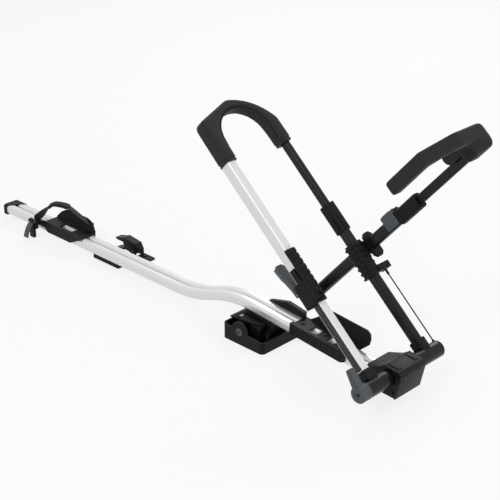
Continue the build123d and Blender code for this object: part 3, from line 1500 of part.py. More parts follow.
def make_buckle_lever():
    pin_z = buckle_z + buckle_height / 2 - buckle_pin_radius * 1.5
    pin_y = buckle_near_y + buckle_lever_wall / 2
    half = buckle_lever_width / 2
    lever = block(buckle_x - half, buckle_x + half, buckle_near_y, buckle_near_y + buckle_lever_wall,
                  pin_z - buckle_lever_length + buckle_lever_wall, pin_z)
    lever += rod_x(buckle_x - half, buckle_x + half, pin_y, pin_z, buckle_lever_wall / 2)
    return lever - rod_x(buckle_x - half - overrun, buckle_x + half + overrun, pin_y, pin_z,
                         buckle_pin_radius + pin_gap)


parts = {
    "rail": make_rail,
    "rail_end_cap": make_rail_end_cap,
    "pivot_housing": make_pivot_housing,
    "housing_cover": make_housing_cover,
    "housing_screws": make_housing_screws,
    "pivot_bushes": make_pivot_bushes,
    "wheel_cradle": make_wheel_cradle,
    "cradle_screws": make_cradle_screws,
    "foot_shell": make_foot_shell,
    "foot_clamp_block": make_foot_clamp_block,
    "foot_jaw": make_foot_jaw,
    "foot_bolts": make_foot_bolts,
    "torque_knob": make_torque_knob,
    "torque_spindle": make_torque_spindle,
    "cross_tube": make_cross_tube,
    "cross_tube_cap": make_cross_tube_cap,
    "near_leg_socket": lambda: make_leg_socket(near_leg_y, bar_width, bar_bottom, bar_top, bar_corner),
    "far_leg_socket": lambda: make_leg_socket(far_leg_y, lower_tube_width, lower_tube_bottom, lower_tube_top,
                                              lower_tube_corner),
    "rack_bar": make_rack_bar,
    "toothed_rack": make_toothed_rack,
    "far_leg_lower_tube": make_far_leg_lower_tube,
    "leg_collar": make_leg_collar,
    "collar_button": make_collar_button,
    "slider_block": make_slider_block,
    "cable_ferrule": make_cable_ferrule,
    "lock_cable": make_lock_cable,
    "cable_anchor": make_cable_anchor,
    "fold_lock_lever": make_fold_lock_lever,
    "lock_core": make_lock_core,
    "near_leg_tube": make_near_leg_tube,
    "far_leg_upper_tube": make_far_leg_upper_tube,
    "hoop_core": make_hoop_core,
    "hoop_pad": make_hoop_pad,
    "pad_insert": make_pad_insert,
    "ratchet_housing": make_ratchet_housing,
    "ratchet_pawl": make_ratchet_pawl,
    "ratchet_grip": make_ratchet_grip,
    "grip_pin": make_grip_pin,
    "release_lever": make_release_lever,
    "release_pin": make_release_pin,
    "hook_arm_tube": make_hook_arm_tube,
    "hook_arm_tail_cap": make_hook_arm_tail_cap,
    "hook_arm_bracket": make_hook_arm_bracket,
    "hook_pivot_pin": make_hook_pivot_pin,
    "hook_arm_sleeve": make_hook_arm_sleeve,
    "thumb_lever": make_thumb_lever,
    "thumb_lever_pin": make_thumb_lever_pin,
    "hook_inner_bar": make_hook_inner_bar,
    "hook_pad": make_hook_pad,
    "rear_mount_pad": make_rear_mount_pad,
    "rear_mount_plate": make_rear_mount_plate,
    "rear_mount_foot": make_rear_mount_foot,
    "rear_claw": make_rear_claw,
    "rear_claw_pin": make_rear_claw_pin,
    "rear_wheel_tray": make_rear_wheel_tray,
    "wheel_strap": make_wheel_strap,
    "strap_pad": make_strap_pad,
    "buckle_body": make_buckle_body,
    "buckle_pin": make_buckle_pin,
    "buckle_lever": make_buckle_lever,
}
for name, make in parts.items():
    export_step(make(), "parts/" + name + ".step")
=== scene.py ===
import json
import math
import bmesh
import bpy
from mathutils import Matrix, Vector


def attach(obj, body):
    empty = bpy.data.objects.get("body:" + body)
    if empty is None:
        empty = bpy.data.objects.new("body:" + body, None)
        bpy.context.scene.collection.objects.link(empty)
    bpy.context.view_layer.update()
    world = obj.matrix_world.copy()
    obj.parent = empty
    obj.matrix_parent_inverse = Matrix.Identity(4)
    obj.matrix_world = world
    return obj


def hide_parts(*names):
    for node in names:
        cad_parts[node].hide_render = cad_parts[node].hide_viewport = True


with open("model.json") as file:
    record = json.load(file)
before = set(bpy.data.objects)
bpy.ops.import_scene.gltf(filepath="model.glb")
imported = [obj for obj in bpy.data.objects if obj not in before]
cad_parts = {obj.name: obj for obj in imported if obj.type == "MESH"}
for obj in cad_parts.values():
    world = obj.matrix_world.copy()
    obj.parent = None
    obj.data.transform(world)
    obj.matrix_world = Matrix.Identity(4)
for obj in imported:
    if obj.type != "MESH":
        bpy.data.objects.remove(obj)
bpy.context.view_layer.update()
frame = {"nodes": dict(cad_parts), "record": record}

# Places and angles, in metres and radians, the same as in the part's source
AXIS = Vector((0.458, 0.0, 0.079))
HOOP_RAISE = math.radians(41.8)
ARM_RAISE = math.radians(48.95)
PIVOT_STATION = 0.310
ALONG_HOOP = Vector((-math.cos(HOOP_RAISE), 0.0, math.sin(HOOP_RAISE)))
ACROSS_HOOP = Vector((math.sin(HOOP_RAISE), 0.0, math.cos(HOOP_RAISE)))
ALONG_ARM = Vector((math.cos(ARM_RAISE), 0.0, math.sin(ARM_RAISE)))
ACROSS_ARM = Vector((-math.sin(ARM_RAISE), 0.0, math.cos(ARM_RAISE)))
ARM_PIVOT = AXIS + ALONG_HOOP * PIVOT_STATION


def on_hoop(station, y, level):
    """Point on the folding hoop, from its distance along the legs, its side and its level."""
    return AXIS + ALONG_HOOP * station + ACROSS_HOOP * level + Vector((0.0, y, 0.0))


def on_arm(station, y, level):
    """Point on the hook arm, in the same way, from the arm's own pivot."""
    return ARM_PIVOT + ALONG_ARM * station + ACROSS_ARM * level + Vector((0.0, y, 0.0))


# Materials
EDGE_FLAT, EDGE_TURNED = 0.995, 0.80
CLOUD_SCALE, STREAKED_CLOUD_SCALE, GRAIN_DETAIL = 45.0, 24.0, 2.0
CLOUD_LOW, CLOUD_HIGH = 0.3, 0.7
ROUGHNESS_SPREAD, BUMP_STRENGTH = 0.15, 0.6


def node(tree, kind, **settings):
    """New shader node, with settings for its sockets or for itself."""
    made = tree.nodes.new(kind)
    for key, value in settings.items():
        if key in made.inputs:
            made.inputs[key].default_value = value
        else:
            setattr(made, key, value)
    return made


def coordinates(tree, turn, scale):
    """Object coordinates turned about Y, so that streaks run along a slanted tube."""
    place = node(tree, "ShaderNodeTexCoord")
    mapping = node(tree, "ShaderNodeMapping", vector_type="TEXTURE")
    mapping.inputs["Rotation"].default_value = (0.0, turn, 0.0)
    mapping.inputs["Scale"].default_value = scale
    tree.links.new(place.outputs["Object"], mapping.inputs["Vector"])
    return mapping.outputs["Vector"]


def noise(tree, vector, scale, detail=3.0):
    """Noise from 0 to 1 at this scale per metre."""
    made = node(tree, "ShaderNodeTexNoise", Scale=scale, Detail=detail)
    tree.links.new(vector, made.inputs["Vector"])
    return made.outputs["Fac"]


def ramp(tree, value, stops):
    """Colour ramp through pairs of position and colour."""
    made = node(tree, "ShaderNodeValToRGB")
    points = made.color_ramp.elements
    while len(points) < len(stops):
        points.new(0.5)
    for point, (position, colour) in zip(points, stops):
        point.position = position
        point.color = (*colour, 1.0)
    tree.links.new(value, made.inputs["Fac"])
    return made.outputs["Color"]


def remap(tree, value, low, high):
    """The value from 0 to 1, stretched to run from low to high."""
    made = node(tree, "ShaderNodeMapRange")
    made.inputs["To Min"].default_value = low
    made.inputs["To Max"].default_value = high
    tree.links.new(value, made.inputs["Value"])
    return made.outputs["Result"]


def edge_mask(tree, bevel):
    """White where a rounded edge turns away from the flat surface, for lightened edges: a painted edge highlight,
    partly wear.
    """
    plain = node(tree, "ShaderNodeNewGeometry")
    dot = node(tree, "ShaderNodeVectorMath", operation="DOT_PRODUCT")
    tree.links.new(bevel.outputs["Normal"], dot.inputs[0])
    tree.links.new(plain.outputs["Normal"], dot.inputs[1])
    turned = node(tree, "ShaderNodeMapRange")
    turned.inputs["From Min"].default_value = EDGE_FLAT
    turned.inputs["From Max"].default_value = EDGE_TURNED
    tree.links.new(dot.outputs["Value"], turned.inputs["Value"])
    return turned.outputs["Result"]


def surface(name, colour, spread, roughness, metallic=0.0, specular=0.5, grain=900.0, grain_depth=0.00005,
            streak=None, turn=0.0, round_edge=0.0008, wear_and_highlight=1.35, sheen=0.0):
    """A moulded, coated or metal surface: cloudy colour, fine grain or brushing, rounded edges lightened as a painted
    highlight, partly wear.
    """
    material = bpy.data.materials.new(name)
    material.use_nodes = True
    tree = material.node_tree
    shader = tree.nodes["Principled BSDF"]
    plain = coordinates(tree, 0.0, (1.0, 1.0, 1.0))
    lined = coordinates(tree, turn, streak) if streak else plain
    cloud = noise(tree, lined, STREAKED_CLOUD_SCALE if streak else CLOUD_SCALE)
    low = tuple(channel * (1.0 - spread) for channel in colour)
    high = tuple(min(1.0, channel * (1.0 + spread)) for channel in colour)
    base = ramp(tree, cloud, ((CLOUD_LOW, low), (CLOUD_HIGH, high)))
    bevel = node(tree, "ShaderNodeBevel", samples=4)
    bevel.inputs["Radius"].default_value = round_edge
    # Multiplies the colour on rounded edges to lighten them: a painted edge highlight, partly wear.
    mix = node(tree, "ShaderNodeMix", data_type="RGBA", blend_type="MULTIPLY")
    mix.inputs["B"].default_value = (wear_and_highlight, wear_and_highlight, wear_and_highlight, 1.0)
    tree.links.new(edge_mask(tree, bevel), mix.inputs["Factor"])
    tree.links.new(base, mix.inputs["A"])
    tree.links.new(mix.outputs["Result"], shader.inputs["Base Color"])
    roughness_noise = remap(tree, cloud, roughness * (1 - ROUGHNESS_SPREAD), roughness * (1 + ROUGHNESS_SPREAD))
    tree.links.new(roughness_noise, shader.inputs["Roughness"])
    bump = node(tree, "ShaderNodeBump", Strength=BUMP_STRENGTH, Distance=grain_depth)
    tree.links.new(noise(tree, lined, grain, GRAIN_DETAIL), bump.inputs["Height"])
    tree.links.new(bevel.outputs["Normal"], bump.inputs["Normal"])
    tree.links.new(bump.outputs["Normal"], shader.inputs["Normal"])
    shader.inputs["Metallic"].default_value = metallic
    shader.inputs["Specular IOR Level"].default_value = specular
    shader.inputs["Sheen Weight"].default_value = sheen
    return material


SILVER = (0.72, 0.72, 0.73)
BLACK = (0.0060, 0.0062, 0.0067)
GREY, BLUE_GREY, SOFT_BLACK = (0.0085, 0.0087, 0.0092), (0.060, 0.067, 0.074), (0.0150, 0.0152, 0.0160)
ZINC, TURNED = (0.60, 0.60, 0.62), (0.32, 0.32, 0.34)
# Colours for painted shade in the rack's tooth gaps and a painted highlight on its tooth tops
TOOTH_GAP_SHADE, TOOTH_TOP_HIGHLIGHT = (0.004, 0.004, 0.0045), (0.075, 0.076, 0.080)
BRUSHING = (1.6, 0.040, 0.040)
# The edge factor of each finish lightens its rounded edges as a painted highlight, partly wear.
rail_metal = surface("rail_anodised", SILVER, 0.03, 0.36, metallic=0.66, grain=60.0, grain_depth=0.000003,
                     streak=BRUSHING, wear_and_highlight=1.05)
leg_metal = surface("leg_anodised", SILVER, 0.02, 0.50, metallic=0.45, grain=60.0, grain_depth=0.000001,
                    streak=BRUSHING, turn=HOOP_RAISE, wear_and_highlight=1.05)
black_tube = surface("black_powder_coat", BLACK, 0.12, 0.27, specular=0.22, grain=1400.0, grain_depth=0.00002,
                     round_edge=0.0014, wear_and_highlight=5.0)
black_steel = surface("black_steel", BLACK, 0.15, 0.42, specular=0.16, grain=1100.0, grain_depth=0.00004,
                      round_edge=0.0014, wear_and_highlight=6.0)
housing_black = surface("moulded_black", BLACK, 0.15, 0.44, specular=0.12, grain=1600.0, grain_depth=0.00005,
                        round_edge=0.0018, wear_and_highlight=7.0)
cover_grey = surface("moulded_dark_grey", GREY, 0.12, 0.46, specular=0.14, grain=1600.0, grain_depth=0.00005,
                     round_edge=0.0020, wear_and_highlight=5.0)
lever_grey = surface("moulded_blue_grey", BLUE_GREY, 0.1, 0.5, specular=0.35, grain=1500.0, grain_depth=0.00005,
                     round_edge=0.0014, wear_and_highlight=2.0)
soft_grip = surface("soft_grip", SOFT_BLACK, 0.12, 0.60, specular=0.19, grain=2200.0, grain_depth=0.00006, sheen=0.02,
                    round_edge=0.0012, wear_and_highlight=2.2)
strap_rubber = surface("strap_rubber", BLACK, 0.12, 0.5, specular=0.15, grain=1300.0, grain_depth=0.00006,
                       round_edge=0.0014, wear_and_highlight=5.0)
bright_steel = surface("zinc_plated", ZINC, 0.06, 0.3, metallic=0.9, grain=800.0, grain_depth=0.00002)
lock_metal = surface("turned_metal", TURNED, 0.1, 0.35, metallic=1.0, grain=800.0, grain_depth=0.00002)
rack_steel = surface("rack_steel", BLACK, 0.15, 0.40, specular=0.20, grain=1100.0, grain_depth=0.00004,
                     round_edge=0.0005, wear_and_highlight=4.0)

RACK_START, RACK_PITCH = 0.046, 0.006


def paint_tooth_light(material):
    """Painted highlight on the tops of the rack's teeth and painted shade in the gaps between them, in step with them
    along the leg.
    """
    tree = material.node_tree
    place = coordinates(tree, HOOP_RAISE, (1.0, 1.0, 1.0))
    parts = node(tree, "ShaderNodeSeparateXYZ")
    tree.links.new(place, parts.inputs["Vector"])
    axis_along = AXIS.x * math.cos(HOOP_RAISE) - AXIS.z * math.sin(HOOP_RAISE)
    station = node(tree, "ShaderNodeMath", operation="SUBTRACT")
    station.inputs[0].default_value = axis_along - RACK_START
    tree.links.new(parts.outputs["X"], station.inputs[1])
    phase = node(tree, "ShaderNodeMath", operation="FLOORED_MODULO")
    tree.links.new(station.outputs[0], phase.inputs[0])
    phase.inputs[1].default_value = RACK_PITCH
    top = node(tree, "ShaderNodeMath", operation="LESS_THAN")
    tree.links.new(phase.outputs[0], top.inputs[0])
    top.inputs[1].default_value = RACK_PITCH / 2
    bands = ramp(tree, top.outputs[0], ((0.0, TOOTH_GAP_SHADE), (1.0, TOOTH_TOP_HIGHLIGHT)))
    tree.links.new(bands, tree.nodes["Principled BSDF"].inputs["Base Color"])


# The rack gets painted highlights on its tooth tops and painted shade between them
paint_tooth_light(rack_steel)

FINISHES = {
    "bright_aluminium": rail_metal, "black_tube": black_tube, "black_steel": black_steel,
    "housing_black": housing_black, "cover_grey": cover_grey, "lever_grey": lever_grey,
    "soft_pad": soft_grip, "strap_rubber": strap_rubber, "bright_steel": bright_steel,
    "lock_metal": lock_metal,
}


def dress(name, finish):
    """Gives one node of the solids its finish."""
    slots = frame["nodes"][name].data.materials
    slots.clear()
    slots.append(finish)


for entry in frame["record"]["subparts"]:
    dress(entry["node"], FINISHES[entry["material_slot"]])
for name, finish in (("near_leg_tube", leg_metal), ("rack_bar", leg_metal), ("toothed_rack", rack_steel),
                     ("torque_spindle", black_steel), ("buckle_lever", strap_rubber)):
    dress(name, finish)


# Meshes
BEVEL_FROM, SHARP_FROM, BEVEL_SEGMENTS, BEVEL_PROFILE = math.radians(25), math.radians(32), 3, 0.5


def place_mesh(name, mesh, finish, body):
    """Piece with this mesh and finish, riding on a body."""
    mesh.materials.append(finish)
    made = bpy.data.objects.new(name, mesh)
    bpy.context.scene.collection.objects.link(made)
    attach(made, body)
    return made


def sweep_mesh(name, rings, finish, body, sharp=None):
    """Closed skin through rings of points, capped at both ends."""
    count = len(rings[0])
    points = [tuple(point) for ring in rings for point in ring]
    faces = []
    for row in range(len(rings) - 1):
        for column in range(count):
            after = (column + 1) % count
            faces.append((row * count + column, row * count + after, (row + 1) * count + after,
                          (row + 1) * count + column))
    for row in (0, len(rings) - 1):
        centre = len(points)
        points.append(tuple(sum((Vector(p) for p in rings[row]), Vector()) / count))
        for column in range(count):
            corner = (row * count + column, row * count + (column + 1) % count, centre)
            faces.append(corner if row else corner[::-1])
    mesh = bpy.data.meshes.new(name)
    mesh.from_pydata(points, [], faces)
    mesh.validate()
    tidy = bmesh.new()
    tidy.from_mesh(mesh)
    bmesh.ops.recalc_face_normals(tidy, faces=tidy.faces)
    tidy.to_mesh(mesh)
    tidy.free()
    for polygon in mesh.polygons:
        polygon.use_smooth = True
    if sharp:
        mesh.set_sharp_from_angle(angle=math.radians(sharp))
    return place_mesh(name, mesh, finish, body)


def rounded_solid(name, first, second, rounding, finish, body):
    """Solid between two matching rings of points, with all its sharp edges rounded."""
    shape = bmesh.new()
    near = [shape.verts.new(point) for point in first]
    far = [shape.verts.new(point) for point in second]
    shape.faces.new(near)
    shape.faces.new(far[::-1])
    for index in range(len(near)):
        after = (index + 1) % len(near)
        shape.faces.new((near[index], far[index], far[after], near[after]))
    bmesh.ops.recalc_face_normals(shape, faces=shape.faces)
    edges = [edge for edge in shape.edges if edge.calc_face_angle(0.0) > BEVEL_FROM]
    bmesh.ops.bevel(shape, geom=edges, offset=rounding, segments=BEVEL_SEGMENTS, profile=BEVEL_PROFILE,
                    affect="EDGES", clamp_overlap=True)
    mesh = bpy.data.meshes.new(name)
    shape.to_mesh(mesh)
    shape.free()
    for polygon in mesh.polygons:
        polygon.use_smooth = True
    mesh.set_sharp_from_angle(angle=SHARP_FROM)
    return place_mesh(name, mesh, finish, body)


def moulded(name, outline, y0, y1, rounding, finish, body):
    """Outline in X and Z thickened along Y, with rounded edges."""
    return rounded_solid(name, [(x, y0, z) for x, z in outline], [(x, y1, z) for x, z in outline], rounding, finish,
                         body)


def resample(points, count):
    """The same line with evenly spaced points."""
    points = [Vector(p) for p in points]
    lengths = [0.0]
    for before, after in zip(points, points[1:]):
        lengths.append(lengths[-1] + (after - before).length)
    result = []
    step = 0
    for index in range(count):
        goal = lengths[-1] * index / (count - 1)
        while step < len(points) - 2 and lengths[step + 1] < goal:
            step += 1
        span = lengths[step + 1] - lengths[step]
        share = (goal - lengths[step]) / span if span else 0.0
        result.append(points[step].lerp(points[step + 1], min(1.0, share)))
    return result


def smoothed(points, rounds):
    """Rounds the corners of a line, and keeps its ends."""
    for _ in range(rounds):
        points = [points[0]] + [
            (points[i - 1] + points[i] * 2 + points[i + 1]) / 4 for i in range(1, len(points) - 1)
        ] + [points[-1]]
    return points


def arc(points, steps):
    """Circular arc through three points in a plane, ends included."""
    a, b, c = (Vector(p) for p in points)
    d = 2 * (a.x * (b.y - c.y) + b.x * (c.y - a.y) + c.x * (a.y - b.y))
    ux = (a.length_squared * (b.y - c.y) + b.length_squared * (c.y - a.y) + c.length_squared * (a.y - b.y)) / d
    uy = (a.length_squared * (c.x - b.x) + b.length_squared * (a.x - c.x) + c.length_squared * (b.x - a.x)) / d
    middle = Vector((ux, uy))
    radius = (a - middle).length
    start, half, end = (math.atan2(*(p - middle).yx) for p in (a, b, c))
    turn = (end - start) % math.tau
    if (half - start) % math.tau > turn:
        turn -= math.tau
    angles = [start + turn * i / steps for i in range(steps + 1)]
    return [middle + Vector((math.cos(angle), math.sin(angle))) * radius for angle in angles]


def boxy(angle, power):
    """Point on a rounded square of half width 1, squarer with a higher power."""
    c, s = math.cos(angle), math.sin(angle)
    return (math.copysign(abs(c) ** (2 / power), c), math.copysign(abs(s) ** (2 / power), s))


CREASE_HALF = 0.035


def section_angles(count, creases=()):
    """Even angles with a tight group of three at each crease, so that it stays narrow."""
    angles = {round(math.tau * i / count, 6): 0.0 for i in range(count)}
    for crease in creases:
        for offset, sink in ((-CREASE_HALF, 0.0), (0.0, 1.0), (CREASE_HALF, 0.0)):
            angles[round((crease + offset) % math.tau, 6)] = sink
    return sorted(angles.items())


def round_corner(before, corner, after, radius, steps):
    """Arc that rounds one corner of a flat line."""
    before, corner, after = Vector(before), Vector(corner), Vector(after)
    into, out = (corner - before).normalized(), (after - corner).normalized()
    turn = into.angle(out)
    reach = radius * math.tan(turn / 2)
    middle = corner + (out - into).normalized() * (radius / math.cos(turn / 2) - radius)
    return arc((corner - into * reach, middle, corner + out * reach), steps)


def end_share(index, count, first, run):
    """0 at either end of a row of rings and 1 from a few rings on, with a first value above 0."""
    return min(1.0, (index + first) / run, (count - 1 + first - index) / run)


def eased(share):
    """Share from 0 to 1 with a soft start and end."""
    return share ** 2 * (3 - 2 * share)


# Hoop pad: one soft horseshoe with a crease along each outer edge and a lip at its two ends
PAD_START, PAD_HALF_DEPTH = 0.652, 0.022
PAD_NEAR, PAD_FAR, PAD_CORNER, PAD_CORNER_ROUND = -0.1205, 0.116, 0.776, 0.014
PAD_PEAK, PAD_BOW, PAD_SHOULDER = (0.812, -0.006), (0.790, 0.054), (0.722, 0.116)
MOUTH, THROAT, THROAT_STATION, CROWN = 0.082, 0.080, 0.700, 0.786
PAD_STEPS, PAD_POWER, PAD_CREASE = 170, 4.2, math.radians(40)
PAD_THIN, PAD_END_SHRINK, CREASE_DEPTH = 0.12, 0.10, 0.10
LIP, LIP_GROOVE, LIP_HALF = 0.006, 0.0016, 0.0018

near_open, near_corner = (PAD_START, PAD_NEAR), (PAD_CORNER, PAD_NEAR)
outer_line = [Vector(near_open)] + round_corner(near_open, near_corner, PAD_PEAK, PAD_CORNER_ROUND, 10)
outer_line += arc((PAD_PEAK, PAD_BOW, PAD_SHOULDER), 40) + [Vector((PAD_START, PAD_FAR))]
outer_line = smoothed(resample(outer_line, PAD_STEPS), 4)
inner_line = [Vector((PAD_START, -MOUTH))]
inner_line += arc(((THROAT_STATION, -THROAT), (CROWN, 0.0), (THROAT_STATION, THROAT)), 60)
inner_line = smoothed(resample(inner_line + [Vector((PAD_START, MOUTH))], PAD_STEPS), 3)
pad_rings = []
pad_angles = section_angles(80, (PAD_CREASE, -PAD_CREASE))
for index in range(PAD_STEPS):
    outer, inner = outer_line[index], inner_line[index]
    middle, reach = (outer + inner) / 2, (outer - inner) / 2
    crown = math.sin(math.pi * index / (PAD_STEPS - 1))
    depth = PAD_HALF_DEPTH * (1.0 - PAD_THIN * crown)
    from_end = min(outer.x, inner.x) - PAD_START
    groove = LIP_GROOVE if abs(from_end - LIP) < LIP_HALF else 0.0
    shrink = 1.0 - PAD_END_SHRINK * (1.0 - math.sqrt(end_share(index, PAD_STEPS, 0.4, 2.0)))
    ring = []
    for angle, sink in pad_angles:
        u, v = boxy(angle, PAD_POWER)
        pull = (1.0 - sink * CREASE_DEPTH) * shrink - groove / PAD_HALF_DEPTH
        spot = middle + reach * (u * pull)
        ring.append(on_hoop(spot.x, spot.y, v * depth * pull))
    pad_rings.append(ring)
hoop_pad = sweep_mesh("hoop_pad_soft", pad_rings, soft_grip, "upper_hoop", sharp=30)
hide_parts("hoop_pad")

# Lining of the hoop's mouth, a thin raised band with cut marks across it
INSERT_START, INSERT_WALL, INSERT_HALF_DEPTH = 0.668, 0.005, 0.0145
INSERT_POINTS, INSERT_POWER, INSERT_TAPER, INSERT_LIFT = 28, 3.4, 0.12, 0.28
THIN_END, NARROW_END = 0.35, 0.5
CUTS, CUT_HALF, CUT_DEPTH = (0.22, 0.30, 0.40, 0.60, 0.70, 0.80), 0.006, 0.0012
MOUTH_MIDDLE = Vector((0.70, 0.0))
lining_rings = []
lining_line = [p for p in inner_line if p.x > INSERT_START]
for index, spot in enumerate(lining_line):
    before = lining_line[max(0, index - 1)]
    after = lining_line[min(len(lining_line) - 1, index + 1)]
    along = (after - before).normalized()
    inward = Vector((-along.y, along.x))
    if inward.dot(MOUTH_MIDDLE - spot) < 0:
        inward = -inward
    share = index / (len(lining_line) - 1)
    fullness = math.sqrt(min(1.0, share / INSERT_TAPER, (1.0 - share) / INSERT_TAPER))
    cut = CUT_DEPTH if min(abs(share - c) for c in CUTS) < CUT_HALF else 0.0
    wall = INSERT_WALL * (THIN_END + (1 - THIN_END) * fullness) - cut
    width = INSERT_HALF_DEPTH * (NARROW_END + (1 - NARROW_END) * fullness)
    ring = []
    for step in range(INSERT_POINTS):
        u, v = boxy(math.tau * step / INSERT_POINTS, INSERT_POWER)
        place = spot + inward * (u * wall / 2 + wall * INSERT_LIFT)
        ring.append(on_hoop(place.x, place.y, v * width))
    lining_rings.append(ring)
lining = sweep_mesh("hoop_lining", lining_rings, soft_grip, "upper_hoop")
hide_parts("pad_insert")

# Hook pad: one soft J on the end of the sliding bar, in matching stretches of its outer and inner line
HOOK_LOW, HOOK_HIGH, HOOK_TOE = 0.008, 0.044, -0.017
NEAR_END, NEAR_Y, NEAR_IN, MITRE, BEVEL = 0.350, -0.054, -0.025, (0.482, -0.054), (0.460, -0.025)
CREST, CREST_IN, FAR_Y, FAR_IN, FAR_END = 0.519, 0.490, 0.158, 0.112, 0.441
KNEE, KNEE_IN, FAR_ROUND, FAR_IN_ROUND = (CREST, 0.050), (CREST_IN, 0.012), 0.024, 0.012
HOOK_POWER, HOOK_END_SHRINK, DROP_FROM, DROP_RUN = 5.0, 0.14, 0.74, 0.12
far_corner = round_corner(KNEE, (CREST, FAR_Y), (FAR_END, FAR_Y), FAR_ROUND, 10)
far_in_corner = round_corner(KNEE_IN, (CREST_IN, FAR_IN), (FAR_END, FAR_IN), FAR_IN_ROUND, 10)
stretches = (
    ([(NEAR_END, NEAR_Y), MITRE], [(NEAR_END, NEAR_IN), BEVEL], 44),
    ([MITRE, KNEE], [BEVEL, KNEE_IN], 36),
    ([KNEE, *far_corner], [KNEE_IN, *far_in_corner], 44),
    ([far_corner[-1], (FAR_END, FAR_Y)], [far_in_corner[-1], (FAR_END, FAR_IN)], 18),
)
hook_outer, hook_inner = [], []
for outward, inward, count in stretches:
    hook_outer += resample(outward, count)[:-1]
    hook_inner += resample(inward, count)[:-1]
hook_outer = smoothed(hook_outer + [Vector((FAR_END, FAR_Y))], 1)
hook_inner = smoothed(hook_inner + [Vector((FAR_END, FAR_IN))], 5)
HOOK_STEPS = len(hook_outer)
hook_rings = []
for index in range(HOOK_STEPS):
    outer, inner = hook_outer[index], hook_inner[index]
    middle, reach = (outer + inner) / 2, (outer - inner) / 2
    shrink = 1.0 - HOOK_END_SHRINK * (1.0 - math.sqrt(end_share(index, HOOK_STEPS, 0.3, 3.0)))
    drop = min(1.0, max(0.0, (index / (HOOK_STEPS - 1) - DROP_FROM) / DROP_RUN))
    low = HOOK_LOW + (HOOK_TOE - HOOK_LOW) * eased(drop)
    centre, half = (HOOK_HIGH + low) / 2, (HOOK_HIGH - low) / 2
    ring = []
    for angle, _ in section_angles(64):
        u, v = boxy(angle, HOOK_POWER)
        spot = middle + reach * (u * shrink)
        ring.append(on_arm(spot.x, spot.y, centre + half * v * shrink))
    hook_rings.append(ring)
hook = sweep_mesh("hook_pad_soft", hook_rings, soft_grip, "hook_slide", sharp=21)
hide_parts("hook_pad")

# Ribbed lobe inside the hook, beside the bar
LOBE_END, LOBE_ROOT, LOBE_Y, LOBE_POWER, LOBE_ROUND = 0.389, 0.480, (0.112, 0.1265), 4.0, 0.011
LOBE_STEPS, LOBE_TIP, RIB_DEPTH, RIB_PITCH = 48, 0.02, 0.0008, 0.007
middle_y, half_y = (LOBE_Y[0] + LOBE_Y[1]) / 2, (LOBE_Y[1] - LOBE_Y[0]) / 2
lobe_rings = []
for step in range(LOBE_STEPS):
    station = LOBE_END + (LOBE_ROOT - LOBE_END) * step / (LOBE_STEPS - 1)
    round_share = min(1.0, (station - LOBE_END) / LOBE_ROUND)
    fullness = math.sqrt(1.0 - (1.0 - round_share) ** 2) * (1.0 - LOBE_TIP) + LOBE_TIP
    rib = RIB_DEPTH * math.cos(math.tau * (station - LOBE_END) / RIB_PITCH)
    ring = []
    for angle, _ in section_angles(40):
        u, v = boxy(angle, LOBE_POWER)
        y = middle_y + u * (half_y - (rib if u < 0 else 0.0))
        level = (HOOK_LOW + HOOK_HIGH) / 2 + v * (HOOK_HIGH - HOOK_LOW) / 2 * fullness
        ring.append(on_arm(station, y, level))
    lobe_rings.append(ring)
sweep_mesh("hook_lobe", lobe_rings, soft_grip, "hook_slide")

# Front cover of the housing, with its rounded brow; the place for a label stays bare
BROW, BROW_IN, TOE = (0.043, 0.026), (0.0385, 0.0215), (0.026, -0.0515)
COVER_REAR, COVER_REAR_IN, TOE_IN = (-0.013, 0.0315), (-0.013, 0.0272), (0.0215, -0.0515)
BROW_ROUND, BROW_IN_ROUND, COVER_HALF, COVER_EDGE = 0.012, 0.008, 0.050, 0.0018
RIDGE = ((-0.010, 0.0300), (0.020, 0.0275), (0.028, 0.0265), (0.024, 0.0300), (0.004, 0.0322), (-0.008, 0.0325))
RIDGE_Y, RIDGE_HALF, RIDGE_EDGE = 0.033, 0.006, 0.0009
LATCH = ((0.0385, 0.0105), (0.0402, 0.0095), (0.0385, 0.0015), (0.0368, 0.0015))
LATCH_Y, LATCH_HALF, LATCH_EDGE = 0.029, 0.003, 0.0004


def from_axis(outline):
    """Outline measured from the cross tube's axis, as places in X and Z."""
    return [(AXIS.x + x, AXIS.z + z) for x, z in outline]


cover_outline = [Vector(COVER_REAR)] + round_corner(COVER_REAR, BROW, TOE, BROW_ROUND, 8)
cover_outline += [Vector(TOE), Vector(TOE_IN)] + round_corner(TOE_IN, BROW_IN, COVER_REAR_IN, BROW_IN_ROUND, 6)
cover_outline += [Vector(COVER_REAR_IN)]
cover = moulded("front_cover", from_axis(cover_outline), -COVER_HALF, COVER_HALF, COVER_EDGE, cover_grey,
                "base")
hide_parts("housing_cover")
for side, where in ((-1, "near"), (1, "far")):
    moulded("cover_ridge_" + where, from_axis(RIDGE), side * RIDGE_Y - RIDGE_HALF, side * RIDGE_Y + RIDGE_HALF,
            RIDGE_EDGE, cover_grey, "base")
    moulded("cover_latch_" + where, from_axis(LATCH), side * LATCH_Y - LATCH_HALF, side * LATCH_Y + LATCH_HALF,
            LATCH_EDGE, black_tube, "base")

